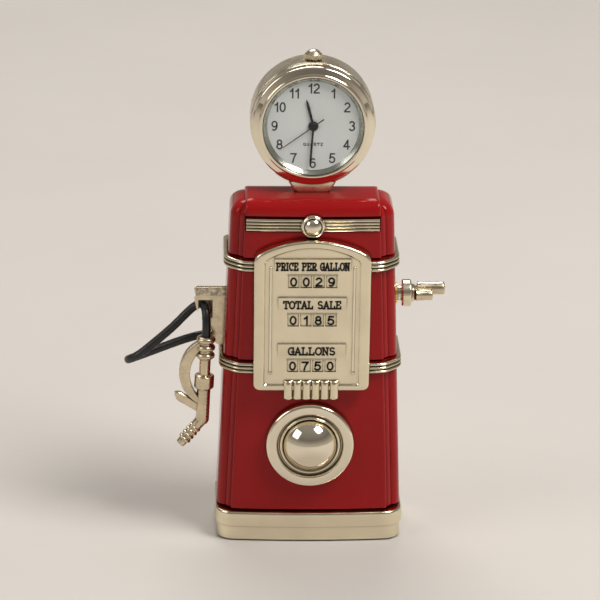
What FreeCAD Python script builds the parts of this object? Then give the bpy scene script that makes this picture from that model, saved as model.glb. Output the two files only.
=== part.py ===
import FreeCAD, Part
import math
import os
import Sketcher

# Service station advertising clock: a die-cast miniature petrol pump with a
# quartz clock as its globe.  Millimetres.  X to the right of a person facing
# the pump, -Y towards that person, Z up.  The origin is the middle of the
# felt pad's underside, where the clock stands.

V = FreeCAD.Vector
X, Y, Z = V(1, 0, 0), V(0, 1, 0), V(0, 0, 1)
doc = FreeCAD.newDocument("service_station_clock")
nodes = {}

# ---------------------------------------------------------------- dimensions
DIMENSIONS = [
    ("base_height", 7.0), ("base_rim", 0.3), ("base_step", 3.6),
    ("base_half", 20.6), ("base_front", -10.9), ("base_back", 10.6),
    ("moulding", 0.45), ("base_corner", 4.0), ("bow_radius", 200.0),
    ("body_top", 79.55), ("side_bottom", 20.6), ("side_top", 17.75),
    ("panel_bottom", 17.55), ("panel_top", 14.6),
    ("front_bottom", -10.1), ("front_top", -9.8),
    ("back_bottom", 9.0), ("back_top", 7.3), ("reed_step", 1.2), ("corner_sweep", 3.6),
    ("top_drop", 0.8), ("front_round", 2.85), ("back_round", 7.0),
    ("band_height", 2.5), ("band_proud", 1.0),
    ("upper_band", 63.7), ("lower_band", 40.05),
    ("bar_half", 14.48), ("bar_bottom", 72.9), ("bar_height", 2.83), ("medallion_radius", 2.62),
    ("plate_front", -12.65), ("plate_half", 12.75), ("plate_bottom", 36.85),
    ("plate_shoulder", 68.2), ("plate_apex", 71.55),
    ("hub_height", 23.5), ("hub_radius", 9.82), ("hub_front", -12.05), ("dome_radius", 5.85),
    ("dome_curve", 6.6),
    ("head_height", 94.8), ("case_radius", 13.6), ("case_depth", 7.15), ("case_wall", 1.2),
    ("bezel_plane", 0.9), ("bezel_radius", 13.5), ("bezel_lip", 11.6), ("bezel_front", 4.35),
    ("glass_radius", 10.9), ("glass_back", 4.05), ("dial_face", 3.15), ("dial_window", 9.95),
    ("crown_radius", 1.95), ("crown_depth", -1.9), ("crown_seat", 13.75), ("crown_length", 2.15),
    ("train_distance", 3.06), ("motion_distance", 2.4), ("fifth_distance", 3.2), ("rotor_distance", 2.04),
    ("crank_height", 55.0), ("crank_back", 1.0), ("shaft_radius", 1.7),
    ("holster_top", 55.0), ("holster_left", -25.4), ("holster_front", -1.65), ("holster_back", 4.7),
    ("nozzle_x", -23.0), ("nozzle_y", -4.1), ("nozzle_z", 46.6), ("nozzle_lean", 2.4),
    ("hose_radius", 0.95), ("socket_y", 2.0), ("socket_z", 45.1),
]
sheet = doc.addObject("Spreadsheet::Sheet", "Sheet")
for row, (alias, value) in enumerate(DIMENSIONS, 1):
    sheet.set("A%d" % row, alias)
    sheet.set("B%d" % row, str(value))
    sheet.setAlias("B%d" % row, alias)
doc.recompute()


def dim(expression):
    """The value of an expression whose words are the sheet's aliases."""
    return float(sheet.evalExpression(expression))


def on_sheet(expression):
    """The same expression, as another object of the document reads it."""
    words = sorted((alias for alias, _ in DIMENSIONS), key=len, reverse=True)
    for word in words:
        expression = expression.replace(word, "<%d>" % words.index(word))
    for index, word in enumerate(words):
        expression = expression.replace("<%d>" % index, "Sheet." + word)
    return expression


# ------------------------------------------------------------------- helpers
def placement(at=(0, 0, 0), axis=Z, angle=0.0):
    return FreeCAD.Placement(V(*at), FreeCAD.Rotation(axis, angle))


HEAD = placement((0, 0, dim("head_height")), X, 90)


def keep(label, thing):
    """Names a sub-part: its label is its node's name."""
    thing.Label = label
    nodes[label] = thing
    return thing


def primitive(kind, name, sizes, at=("0", "0", "0"), axis=Z, angle=0.0):
    """A Part primitive whose sizes and place are bound to the sheet."""
    thing = doc.addObject("Part::" + kind, name)
    for size, expression in sizes.items():
        thing.setExpression(size, on_sheet(expression))
    thing.Placement = placement((0, 0, 0), axis, angle)
    for letter, expression in zip("xyz", at):
        thing.setExpression("Placement.Base." + letter, on_sheet(expression))
    return thing


def box(name, x, y, z):
    """A block between two expressions along each axis."""
    spans = ["(%s) - (%s)" % (high, low) for low, high in (x, y, z)]
    sizes = dict(zip(("Length", "Width", "Height"), spans))
    return primitive("Box", name, sizes, at=(x[0], y[0], z[0]))


def rod(name, radius, length, at, axis=Z, angle=0.0):
    return primitive("Cylinder", name, {"Radius": radius, "Height": length}, at, axis, angle)


def cut(name, base, *tools):
    """The base less each tool in turn."""
    for number, tool in enumerate(tools, 1):
        step = doc.addObject("Part::Cut", "%s_cut_%d" % (name, number))
        step.Base, step.Tool = base, tool
        base = step
    return base


def fuse(name, *pieces):
    union = doc.addObject("Part::MultiFuse", name + "_union")
    union.Shapes = list(pieces)
    union.Refine = True
    return union


def common(name, first, second):
    both = doc.addObject("Part::Common", name + "_common")
    both.Base, both.Tool = first, second
    return both


def solid(name, shape, place=None):
    """A shape that only Part's own functions make."""
    thing = doc.addObject("Part::Feature", name)
    thing.Shape = shape
    if place:
        thing.Placement = place
    return thing


def outline(body, role, corners):
    """A closed sketch of straight edges; each corner is a pair of expressions."""
    sketch = body.newObject("Sketcher::SketchObject", body.Name + "_outline")
    plane = [feature for feature in body.Origin.OriginFeatures if feature.Role == role][0]
    sketch.AttachmentSupport = (plane, [""])
    sketch.MapMode = "FlatFace"
    points = [V(dim(x), dim(y), 0) for x, y in corners]
    count = len(points)
    for i in range(count):
        sketch.addGeometry(Part.LineSegment(points[i], points[(i + 1) % count]))
    for i in range(count):
        sketch.addConstraint(Sketcher.Constraint("Coincident", i, 2, (i + 1) % count, 1))
    for i, (x, y) in enumerate(corners):
        for kind, expression, value in (("DistanceX", x, points[i].x), ("DistanceY", y, points[i].y)):
            index = sketch.addConstraint(Sketcher.Constraint(kind, -1, 1, i, 1, value))
            sketch.setExpression("Constraints[%d]" % index, on_sheet(expression))
    return sketch


def turned(name, corners, place=None):
    """A body turned about its own Z axis from corners (radius, height)."""
    body = doc.addObject("PartDesign::Body", name)
    sketch = outline(body, "XZ_Plane", corners)
    turn = body.newObject("PartDesign::Revolution", name + "_turn")
    turn.Profile = sketch
    turn.ReferenceAxis = (sketch, ["V_Axis"])
    turn.Angle = 360.0
    if place:
        body.Placement = place
    return body


def padded(name, role, corners, length, place=None):
    """A body padded from an outline on one of its origin planes."""
    body = doc.addObject("PartDesign::Body", name)
    sketch = outline(body, role, corners)
    pad = body.newObject("PartDesign::Pad", name + "_pad")
    pad.Profile = sketch
    pad.setExpression("Length", on_sheet(length))
    if place:
        body.Placement = place
    return body


def head(across, up, forward):
    """A point of the clock head: across, up and forward from its middle."""
    return V(across, -forward, dim("head_height") + up)


# ------------------------------------------- cross-sections of the pump body
def between(z, low, high):
    """A size of the body at height z, which tapers from low to high."""
    share = (z - dim("base_height")) / (dim("body_top") - dim("base_height"))
    return dim(low) + share * (dim(high) - dim(low))


def bow(x):
    """How far the bowed front has gone back at x."""
    return x * x / (2 * dim("bow_radius"))


def arc(first, middle, last):
    return Part.Arc(first, middle, last).toShape()


def line(first, last):
    return Part.LineSegment(first, last).toShape()


def panel_section(z, grow):
    """The middle panel in plan, with its bowed front and rounded corners."""
    half = between(z, "panel_bottom", "panel_top") + grow
    round_off = 0.5
    front = between(z, "front_bottom", "front_top") - grow
    corner = front + bow(half - round_off)
    back = between(z, "back_bottom", "back_top") + 0.5 + grow
    chord = round_off * (1 - math.sqrt(0.5))
    right = [V(half - round_off, corner, z), V(half - chord, corner + chord, z), V(half, corner + round_off, z),
             V(half, back - round_off, z), V(half - chord, back - chord, z), V(half - round_off, back, z)]
    left = [V(-p.x, p.y, z) for p in right]
    return Part.Wire([
        arc(left[0], V(0, front, z), right[0]), arc(*right[0:3]), line(right[2], right[3]), arc(*right[3:6]),
        line(right[5], left[5]), arc(*left[5:2:-1]), line(left[3], left[2]), arc(*left[2::-1])])


def core_section(z, grow):
    """The body behind the panel in plan: two reeds on each front corner."""
    half = between(z, "side_bottom", "side_top") + grow
    panel = between(z, "panel_bottom", "panel_top")
    front = between(z, "front_bottom", "front_top") + bow(panel) + dim("reed_step") - grow
    sweep = dim("corner_sweep")
    back = between(z, "back_bottom", "back_top") + grow
    reed = panel + 0.36 * (half - panel)
    round_back = 2.0
    chord = round_back * (1 - math.sqrt(0.5))
    right = [V(panel - 0.4, front, z), V((panel + reed) / 2, front - 0.1, z), V(reed, front + 0.25 * sweep, z),
             V(half - 0.6, front + 0.5 * sweep, z), V(half, front + sweep, z),
             V(half, back - round_back, z), V(half - chord, back - chord, z), V(half - round_back, back, z)]
    left = [V(-p.x, p.y, z) for p in right]
    return Part.Wire([
        line(left[0], right[0]), arc(*right[0:3]), arc(*right[2:5]), line(right[4], right[5]), arc(*right[5:8]),
        line(right[7], left[7]), arc(*left[7:4:-1]), line(left[5], left[4]), arc(*left[4:1:-1]),
        arc(*left[2::-1])])


def stretch(section, low, high, grow=0.0):
    """A solid between two heights of the body, its faces moved out by grow."""
    return Part.makeLoft([section(low, grow), section(high, grow)], True, True)


def side_profile(front, top, front_round, back, back_round):
    """A slab across the body whose edge is the rounded top seen from the side."""
    a, b = math.sqrt(0.5) * front_round, math.sqrt(0.5) * back_round
    wire = Part.Wire([
        line(V(0, front, 0), V(0, front, top - front_round)),
        arc(V(0, front, top - front_round), V(0, front + front_round - a, top - front_round + a),
            V(0, front + front_round, top)),
        line(V(0, front + front_round, top), V(0, back - back_round, top)),
        arc(V(0, back - back_round, top), V(0, back - back_round + b, top - back_round + b),
            V(0, back, top - back_round)),
        line(V(0, back, top - back_round), V(0, back + 3, 0)),
        line(V(0, back + 3, 0), V(0, front, 0))])
    slab = Part.Face(wire).extrude(V(60, 0, 0))
    slab.translate(V(-30, 0, 0))
    return slab


def body_outside(grow=0.0, low=None, high=None):
    """The whole outer form of the red body, or a slice of it."""
    low = dim("base_height") if low is None else low
    high = dim("body_top") + 0.5 if high is None else high
    return stretch(core_section, low, high, grow).fuse(stretch(panel_section, low, high, grow))


def block(x, y, z):
    return Part.makeBox(x[1] - x[0], y[1] - y[0], z[1] - z[0], V(x[0], y[0], z[0]))


# ---------------------------------------------------------------- the plinth
def plinth_section(z, grow):
    """The plinth in plan: bowed front, four rounded corners."""
    half, front, back = dim("base_half") + grow, dim("base_front") - grow, dim("base_back") + grow
    radius = dim("base_corner") + grow
    chord = radius * (1 - math.sqrt(0.5))
    corner = front + bow(half - radius)
    right = [V(half - radius, corner, z), V(half - chord, corner + chord, z), V(half, corner + radius, z),
             V(half, back - radius, z), V(half - chord, back - chord, z), V(half - radius, back, z)]
    left = [V(-p.x, p.y, z) for p in right]
    return Part.Wire([
        arc(left[0], V(0, front, z), right[0]), arc(*right[0:3]), line(right[2], right[3]), arc(*right[3:6]),
        line(right[5], left[5]), arc(*left[5:2:-1]), line(left[3], left[2]), arc(*left[2::-1])])


def prism(wire, height):
    return Part.Face(wire).extrude(V(0, 0, height))


PAD_THICK = 1.0
PAD_INSET = -1.4
HOLLOW_INSET = -2.4
ROOF = 4.6
SCREW_X = 15.9


def make_base():
    """Plated plinth, hollow below, with its felt pad and two screws."""
    rim, step, top = dim("base_rim"), dim("base_step"), dim("base_height")
    lower = prism(plinth_section(rim, 0), step - rim)
    upper = prism(plinth_section(step, dim("moulding")), top - step)
    rounded = [edge for edge in upper.Edges if abs(edge.BoundBox.ZMin - edge.BoundBox.ZMax) < 0.01]
    upper = upper.makeFillet(0.9, rounded)
    plinth = lower.fuse(upper)
    plinth = plinth.cut(prism(plinth_section(0, PAD_INSET), PAD_THICK))
    plinth = plinth.cut(prism(plinth_section(0, HOLLOW_INSET), ROOF))
    screws = []
    for side in (-1, 1):
        hole = Part.makeCylinder(1.05, 8, V(side * SCREW_X, 0, 0))
        plinth = plinth.cut(hole)
        shank = Part.makeCylinder(0.95, 10.0, V(side * SCREW_X, 0, ROOF))
        knob = Part.makeCylinder(1.8, 1.2, V(side * SCREW_X, 0, ROOF - 1.2))
        slot = block((side * SCREW_X - 2, side * SCREW_X + 2), (-0.25, 0.25), (ROOF - 1.3, ROOF - 0.7))
        screws.append(shank.fuse(knob).cut(slot))
    keep("base_plinth", solid("base_plinth", plinth))
    keep("base_screws", solid("base_screws", Part.makeCompound(screws)))
    keep("felt_pad", solid("felt_pad", prism(plinth_section(0, PAD_INSET - 0.1), PAD_THICK)))


# -------------------------------------------------------- the red body shell
CAVITY_TOP = 76.6


def make_body():
    """Hollow enamelled casting: panel, reeded corners, rounded top."""
    top, drop = dim("body_top"), dim("top_drop")
    core = stretch(core_section, dim("base_height"), top + 0.5)
    strip_front = dim("front_top + reed_step") + bow(dim("panel_top")) - 0.4
    core = core.common(side_profile(strip_front, top - drop, 2.6, dim("back_top"), dim("back_round") - drop))
    shoulder = 3.6
    half = dim("side_top") + 0.15
    slope = (dim("side_bottom") - dim("side_top")) / (top - dim("base_height"))
    foot = half + slope * top
    knee = math.sqrt(0.5) * shoulder
    arch = Part.Wire([
        line(V(-foot, -20, 0), V(-half, -20, top - drop - shoulder)),
        arc(V(-half, -20, top - drop - shoulder), V(-half + shoulder - knee, -20, top - drop - shoulder + knee),
            V(-half + shoulder, -20, top - drop)),
        line(V(-half + shoulder, -20, top - drop), V(half - shoulder, -20, top - drop)),
        arc(V(half - shoulder, -20, top - drop), V(half - shoulder + knee, -20, top - drop - shoulder + knee),
            V(half, -20, top - drop - shoulder)),
        line(V(half, -20, top - drop - shoulder), V(foot, -20, 0)),
        line(V(foot, -20, 0), V(-foot, -20, 0))])
    core = core.common(Part.Face(arch).extrude(V(0, 40, 0)))
    panel = stretch(panel_section, dim("base_height"), top + 0.5)
    panel = panel.common(side_profile(dim("front_top") - 0.02, top, dim("front_round"),
                                      dim("back_top") + 0.5, dim("back_round")))
    shell = core.fuse(panel)
    low = [V(-18.2, -5.9, 5), V(18.2, -5.9, 5), V(18.2, 7.0, 5), V(-18.2, 7.0, 5)]
    high = [V(-14.4, -5.6, CAVITY_TOP), V(14.4, -5.6, CAVITY_TOP), V(14.4, 2.9, CAVITY_TOP),
            V(-14.4, 2.9, CAVITY_TOP)]
    cavity = Part.makeLoft([Part.makePolygon(ring + ring[:1]) for ring in (low, high)], True, True)
    for side in (-1, 1):
        boss = Part.makeCylinder(2.4, 14.0, V(side * SCREW_X, 0, 4))
        cavity = cavity.cut(boss)
    shell = shell.cut(cavity)
    for side in (-1, 1):
        shell = shell.cut(Part.makeCylinder(0.95, 9.0, V(side * SCREW_X, 0, 6)))
    bar_seat = block((-dim("bar_half") - 0.25, dim("bar_half") + 0.25), (-14, -5),
                     (dim("bar_bottom") - 0.15, dim("bar_bottom + bar_height") + 0.45))
    shell = shell.cut(bar_seat.cut(body_outside(-1.0, 70, 78)))
    shell = shell.cut(Part.makeCylinder(2.3, 6, V(14, dim("crank_back"), dim("crank_height")), X))
    shell = shell.cut(Part.makeCylinder(1.05, 6, V(0, 0, CAVITY_TOP - 1)))
    keep("body_shell", solid("body_shell", shell.removeSplitter()))
    return shell


def make_bands():
    """Two plated straps with three ridges, round the sides and the back."""
    proud, height = dim("band_proud"), dim("band_height")
    for label, low in (("upper_band", dim("upper_band")), ("lower_band", dim("lower_band"))):
        strap = body_outside(0.7 * proud, low, low + height)
        ridge = 0.26 * height
        for number in range(3):
            start = low + number * (height - ridge) / 2
            strap = strap.fuse(body_outside(proud, start, start + ridge))
        gap = block((-dim("plate_half") - 0.03, dim("plate_half") + 0.03), (-14, -4), (low - 1, low + height + 1))
        strap = strap.cut(body_outside(0.0, low - 0.5, low + height + 0.5)).cut(gap)
        keep(label, solid(label, max(strap.Solids, key=lambda piece: piece.Volume)))


def make_bar(shell):
    """Ridged bar let into the front of the body, under a domed medallion."""
    low, height, half = dim("bar_bottom"), dim("bar_height"), dim("bar_half")
    bar = block((-half, half), (-14, -5), (low, low + height)).common(body_outside(0.15, 70, 78))
    for number in range(4):
        ridge = block((-half, half), (-14, -5), (low + 0.18 + 0.68 * number, low + 0.6 + 0.68 * number))
        bar = bar.fuse(ridge.common(body_outside(0.4, 70, 78)))
    bar = bar.cut(body_outside(-1.0, 70, 78))
    middle = V(0, dim("front_top") + 0.2, low + height / 2)
    radius = dim("medallion_radius")
    disc = Part.makeCylinder(radius, 1.5, middle, -Y)
    dome = Part.makeSphere(2.6, middle - Y * 0.1).common(Part.makeCylinder(1.8, 4, middle, -Y))
    medallion = disc.fuse(dome)
    medallion = medallion.fuse(Part.makeCylinder(1.0, 1.3, middle, Y))
    bar = bar.cut(medallion)
    keep("top_bar", solid("top_bar", bar.cut(shell)))
    keep("top_medallion", solid("top_medallion", medallion.cut(shell)))


# ------------------------------------------------- register plate and hubcap
LABELS = ((66.05, 8.3), (57.2, 7.4), (46.45, 7.4))
COUNTERS = (62.2, 53.3, 42.65)
BEAD_SPAN, BEAD_FOOT, BEAD_LENGTH = 9.1, 41.1, 24.6


def plate_outline(inset):
    """The plate's arched outline in the XZ plane, moved in by inset."""
    half = dim("plate_half") - inset
    low, shoulder, apex = dim("plate_bottom") + inset, dim("plate_shoulder") - inset, dim("plate_apex") - inset
    r = 1.6
    c = r * (1 - math.sqrt(0.5))
    points = [V(-half + r, 0, low), V(half - r, 0, low), V(half - c, 0, low + c), V(half, 0, low + r),
              V(half, 0, shoulder - 0.8), V(half - 0.25, 0, shoulder - 0.15), V(half - 0.8, 0, shoulder + 0.3),
              V(0, 0, apex)]
    mirror = [V(-p.x, 0, p.z) for p in points]
    return Part.Wire([
        line(points[0], points[1]), arc(*points[1:4]), line(points[3], points[4]), arc(*points[4:7]),
        arc(points[6], points[7], mirror[6]), arc(mirror[6], mirror[5], mirror[4]),
        line(mirror[4], mirror[3]), arc(mirror[3], mirror[2], mirror[1])])


def make_plate():
    """Plated register plate: raised border, beads, windows and a fluted tab."""
    front = dim("plate_front")
    thick = 5.0
    plate = Part.Face(plate_outline(0)).extrude(V(0, thick, 0))
    plate.translate(V(0, front, 0))
    panel = Part.Face(plate_outline(2.3)).extrude(V(0, 0.45, 0))
    panel.translate(V(0, front, 0))
    plate = plate.cut(panel)
    floor = front + 0.45
    for side in (-1, 1):
        bead = Part.makeCylinder(0.3, BEAD_LENGTH, V(side * BEAD_SPAN, floor, BEAD_FOOT))
        plate = plate.fuse(bead).fuse(Part.makeSphere(0.42, V(side * BEAD_SPAN, floor, BEAD_FOOT)))
    for height, half in LABELS:
        wedge = [V(-half, floor + 0.2, height - 1.55), V(-half, floor, height - 1.55),
                 V(-half, floor - 0.4, height + 1.4), V(-half, floor + 0.2, height + 1.6)]
        plate = plate.fuse(Part.Face(Part.makePolygon(wedge + wedge[:1])).extrude(V(2 * half, 0, 0)))
    for height in COUNTERS:
        for number in range(4):
            left = -5.5 + 2.75 * number
            plate = plate.cut(block((left + 0.1, left + 2.65), (floor - 0.1, floor + 0.5),
                                    (height - 1.45, height + 1.45)))
    tab = block((-6.0, 6.0), (front + 0.3, front + thick), (34.9, 38.4))
    for number in range(6):
        tab = tab.fuse(Part.makeCylinder(0.85, 3.9, V(-5.0 + 2.0 * number, front + 0.75, 34.9)))
    plate = plate.fuse(tab)
    plate = plate.cut(body_outside(0.0, 30, 75))
    keep("register_plate", solid("register_plate", max(plate.Solids, key=lambda piece: piece.Volume)))


def make_hubcap():
    """Dished chrome ring with a round-topped dome pressed into it."""
    front = dim("hub_front")
    place = placement((0, 0, dim("hub_height")), X, 90)
    blank = turned("hubcap_ring_blank", [
        ("dome_radius", "8.6"), ("hub_radius - 0.35", "8.6"), ("hub_radius", "-hub_front - 1.2"),
        ("hub_radius - 0.1", "-hub_front - 0.3"), ("hub_radius - 0.5", "-hub_front"),
        ("hub_radius - 2.2", "-hub_front"), ("hub_radius - 2.85", "-hub_front - 2.0"),
        ("dome_radius", "-hub_front - 2.2")], place)
    doc.recompute()
    blank.Label = "hubcap ring before it is fitted to the bowed front"
    outside = body_outside(0.0, 10, 36)
    dome = Part.makeSphere(dim("dome_curve"), V(0, front + 3.35, dim("hub_height")))
    dome = dome.common(Part.makeCylinder(dim("dome_radius"), 7.0, V(0, front + 3.0, dim("hub_height")), -Y))
    keep("hubcap_ring", solid("hubcap_ring", blank.Shape.cut(outside)))
    keep("hubcap_dome", solid("hubcap_dome", dome.cut(outside)))


# ----------------------------------------------------- neck and head cradle
SADDLE = 12.1


def make_neck(shell):
    """Plated neck on the body's roof, and the saddle under the clock."""
    zc = dim("head_height")
    cradle = Part.makeCylinder(SADDLE, 6.35, head(0, -2.0, 2.35), Y)
    cradle = cradle.cut(Part.makeCylinder(dim("case_radius"), 8, head(0, 0, 3.0), Y))
    keep("head_cradle", solid("head_cradle", cradle))
    top = dim("body_top")
    corners = [V(-3.55, 0, top - 1), V(3.55, 0, top - 1), V(3.55, 0, top), V(4.3, 0, top + 0.7),
               V(5.2, 0, zc - 13.1), V(-5.2, 0, zc - 13.1), V(-4.3, 0, top + 0.7), V(-3.55, 0, top)]
    neck = Part.Face(Part.makePolygon(corners + corners[:1])).extrude(V(0, 4.95, 0))
    neck.translate(V(0, -2.6, 0))
    neck = neck.cut(shell).cut(Part.makeCylinder(SADDLE, 12, head(0, -2.0, 6), Y))
    neck = neck.cut(Part.makeCylinder(0.8, 3.1, V(0, 0, top - 2)))
    keep("head_neck", solid("head_neck", max(neck.Solids, key=lambda piece: piece.Volume)))
    screw = fuse("neck_screw", rod("neck_screw_shank", "0.8", "body_top + 0.6 - 76.6", ("0", "0", "76.6")),
                 rod("neck_screw_knob", "1.7", "1.1", ("0", "0", "75.5")))
    keep("neck_screw", screw)


# ------------------------------------------------------------ the clock head
def make_case():
    """Drum, back cover, bezel, glass, reflector ring and dial."""
    drum = turned("case_drum", [
        ("case_radius - case_wall", "bezel_plane - case_depth"), ("case_radius", "bezel_plane - case_depth"),
        ("case_radius", "bezel_plane"), ("case_radius - case_wall", "bezel_plane")], HEAD)
    bore = rod("case_stem_bore", "0.8", "6", ("0", "-crown_depth", "head_height + 10"))
    keep("clock_case", cut("clock_case", drum, bore))
    keep("case_back", turned("case_back", [
        ("0", "bezel_plane - case_depth - 0.45"), ("case_radius - 1.0", "bezel_plane - case_depth - 0.45"),
        ("case_radius - 0.7", "bezel_plane - case_depth"),
        ("case_radius - case_wall - 0.02", "bezel_plane - case_depth"),
        ("case_radius - case_wall - 0.02", "bezel_plane - case_depth + 0.9"),
        ("case_radius - 2.4", "bezel_plane - case_depth + 0.9"),
        ("case_radius - 2.4", "bezel_plane - case_depth + 0.3"),
        ("0", "bezel_plane - case_depth + 0.3")], HEAD))
    keep("bezel", turned("bezel", [
        ("glass_radius + 0.05", "-0.8"), ("case_radius - case_wall - 0.02", "-0.8"),
        ("case_radius - case_wall - 0.02", "bezel_plane"), ("bezel_radius", "bezel_plane"),
        ("bezel_radius", "bezel_plane + 0.25"), ("bezel_radius - 0.15", "bezel_plane + 0.4"),
        ("bezel_radius - 0.18", "bezel_plane + 1.9"), ("bezel_radius - 0.45", "bezel_plane + 2.45"),
        ("bezel_radius - 0.95", "bezel_plane + 2.75"), ("bezel_lip + 0.1", "bezel_front - 0.4"),
        ("bezel_lip", "bezel_front - 0.05"), ("bezel_lip - 0.3", "bezel_front"),
        ("glass_radius + 0.05", "bezel_front - 0.15")], HEAD))
    keep("crystal", turned("crystal", [
        ("0", "glass_back"), ("glass_radius", "glass_back"), ("glass_radius", "glass_back + 0.25"),
        ("glass_radius - 0.3", "glass_back + 0.42"), ("0", "glass_back + 0.42")], HEAD))
    keep("rehaut_ring", turned("rehaut_ring", [
        ("dial_window", "dial_face"), ("glass_radius", "dial_face"), ("glass_radius", "glass_back"),
        ("glass_radius - 0.15", "glass_back")], HEAD))
    keep("dial", turned("dial", [
        ("0.8", "dial_face - 0.3"), ("glass_radius", "dial_face - 0.3"), ("glass_radius", "dial_face"),
        ("0.8", "dial_face")], HEAD))
    ring = turned("holder_ring", [
        ("7.05", "-4.4"), ("glass_radius", "-4.4"), ("glass_radius", "dial_face - 0.3"),
        ("7.05", "dial_face - 0.3")], HEAD)
    passage = rod("holder_stem_bore", "0.55", "6", ("0", "-crown_depth", "head_height + 6"))
    keep("movement_holder", cut("movement_holder", ring, passage))


def bearing_holes(name, places):
    """Through holes in a plate of the movement: (across, up, radius) each."""
    rods = []
    for number, (across, up, radius) in enumerate(places, 1):
        place = (repr(across), "6", "head_height + " + repr(up))
        rods.append(rod("%s_hole_%d" % (name, number), repr(radius), "14", place, X, 90))
    return rods


THIRD = math.radians(200)
FIFTH = math.radians(-25)
ROTOR = math.radians(-100)
TRAIN = dim("train_distance")
third_at = (TRAIN * math.cos(THIRD), TRAIN * math.sin(THIRD))
fifth_at = (dim("fifth_distance") * math.cos(FIFTH), dim("fifth_distance") * math.sin(FIFTH))
rotor_at = (fifth_at[0] + dim("rotor_distance") * math.cos(ROTOR),
            fifth_at[1] + dim("rotor_distance") * math.sin(ROTOR))
minute_at = (0.0, dim("motion_distance"))
PIVOT = 0.14


def make_movement():
    """The fixed parts of the quartz movement behind the dial."""
    plate = turned("plate_blank", [("0", "1.2"), ("7.0", "1.2"), ("7.0", "2.0"), ("0", "2.0")], HEAD)
    holes = [(0.0, 0.0, 0.46), third_at + (PIVOT + 0.05,), fifth_at + (PIVOT + 0.05,)]
    keep("main_plate", cut("main_plate", plate, *bearing_holes("main_plate", holes)))
    bridge = turned("bridge_blank", [("0", "-1.2"), ("6.6", "-1.2"), ("6.6", "-0.75"), ("0", "-0.75")], HEAD)
    holes = [place + (PIVOT + 0.05,) for place in ((0.0, 0.0), third_at, fifth_at, rotor_at)]
    notch = box("bridge_notch", ("-3.3", "3.3"), ("0.5", "1.5"), ("head_height - 7", "head_height - 4.6"))
    keep("train_bridge", cut("train_bridge", bridge, notch, *bearing_holes("train_bridge", holes)))
    posts = []
    for angle in (90, 220, 320):
        post = head(6.1 * math.cos(math.radians(angle)), 6.1 * math.sin(math.radians(angle)), 1.2)
        posts.append(Part.makeCylinder(0.4, 1.95, post, Y))
    keep("bridge_posts", solid("bridge_posts", Part.makeCompound(posts)))
    stator = box("stator_plate", ("-3.9", "3.9"), ("0.35", "0.6"), ("head_height - 5.5", "head_height - 2.1"))
    window = box("stator_window", ("-3.3", "3.3"), ("0", "1"), ("head_height - 5.05", "head_height - 4.5"))
    well = bearing_holes("stator", [rotor_at + (0.95,)])
    keep("stator", cut("stator", stator, window, *well))
    winding = rod("winding", "0.5", "6.0", ("-3.0", "0.475", "head_height - 5.28"), Y, 90)
    keep("coil", cut("coil", winding, box("coil_core", ("-4", "4"), ("0.34", "0.61"),
                                        ("head_height - 5.52", "head_height - 5.03"))))
    keep("circuit_board", box("circuit_board", ("1.5", "5.3"), ("1.25", "1.55"),
                              ("head_height - 3.4", "head_height + 3.6")))
    keep("battery", rod("battery", "3.4", "2.3", ("-2.2", "3.6", "head_height + 0.4"), X, 90))
    keep("battery_clip", box("battery_clip", ("-3.2", "5.0"), ("3.62", "3.8"),
                             ("head_height - 0.5", "head_height + 1.3")))
    tube = turned("crown_tube_blank", [("0.42", "12.2"), ("0.78", "12.2"), ("0.78", "14.3"), ("0.42", "14.3")],
                  placement((0, -dim("crown_depth"), dim("head_height"))))
    keep("crown_tube", tube)


def wheel(teeth, module, thickness, bore=0.0, turn=0.0):
    """A toothed disc: straight-sided teeth narrower than their gaps."""
    pitch, root, tip = module * teeth / 2, module * (teeth / 2 - 1.15), module * (teeth / 2 + 0.8)
    corners = []
    for tooth in range(teeth):
        middle = 2 * math.pi * (tooth + turn) / teeth
        quarter = math.pi / teeth
        for radius, share in ((root, -0.62), (pitch, -0.42), (tip, -0.18), (tip, 0.18), (pitch, 0.42), (root, 0.62)):
            angle = middle + share * quarter
            corners.append(V(radius * math.cos(angle), radius * math.sin(angle), 0))
    disc = Part.Face(Part.makePolygon(corners + corners[:1])).extrude(V(0, 0, thickness))
    if bore:
        disc = disc.cut(Part.makeCylinder(bore, thickness * 3, V(0, 0, -thickness)))
    return disc


def stacked(label, at, *layers):
    """A wheel and its pinion on one arbor; each layer is (shape, height)."""
    whole = None
    for shape, height in layers:
        shape.translate(V(0, 0, height))
        whole = shape if whole is None else whole.fuse(shape)
    place = placement((at[0], 0, dim("head_height") + at[1]), X, 90)
    keep(label, solid(label, whole, place))


def mesh_turn(teeth, towards, phase):
    """The turn, in teeth, that puts a tooth (0) or a gap (0.5) at an angle."""
    return (towards * teeth / (2 * math.pi) + phase) % 1.0


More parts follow.
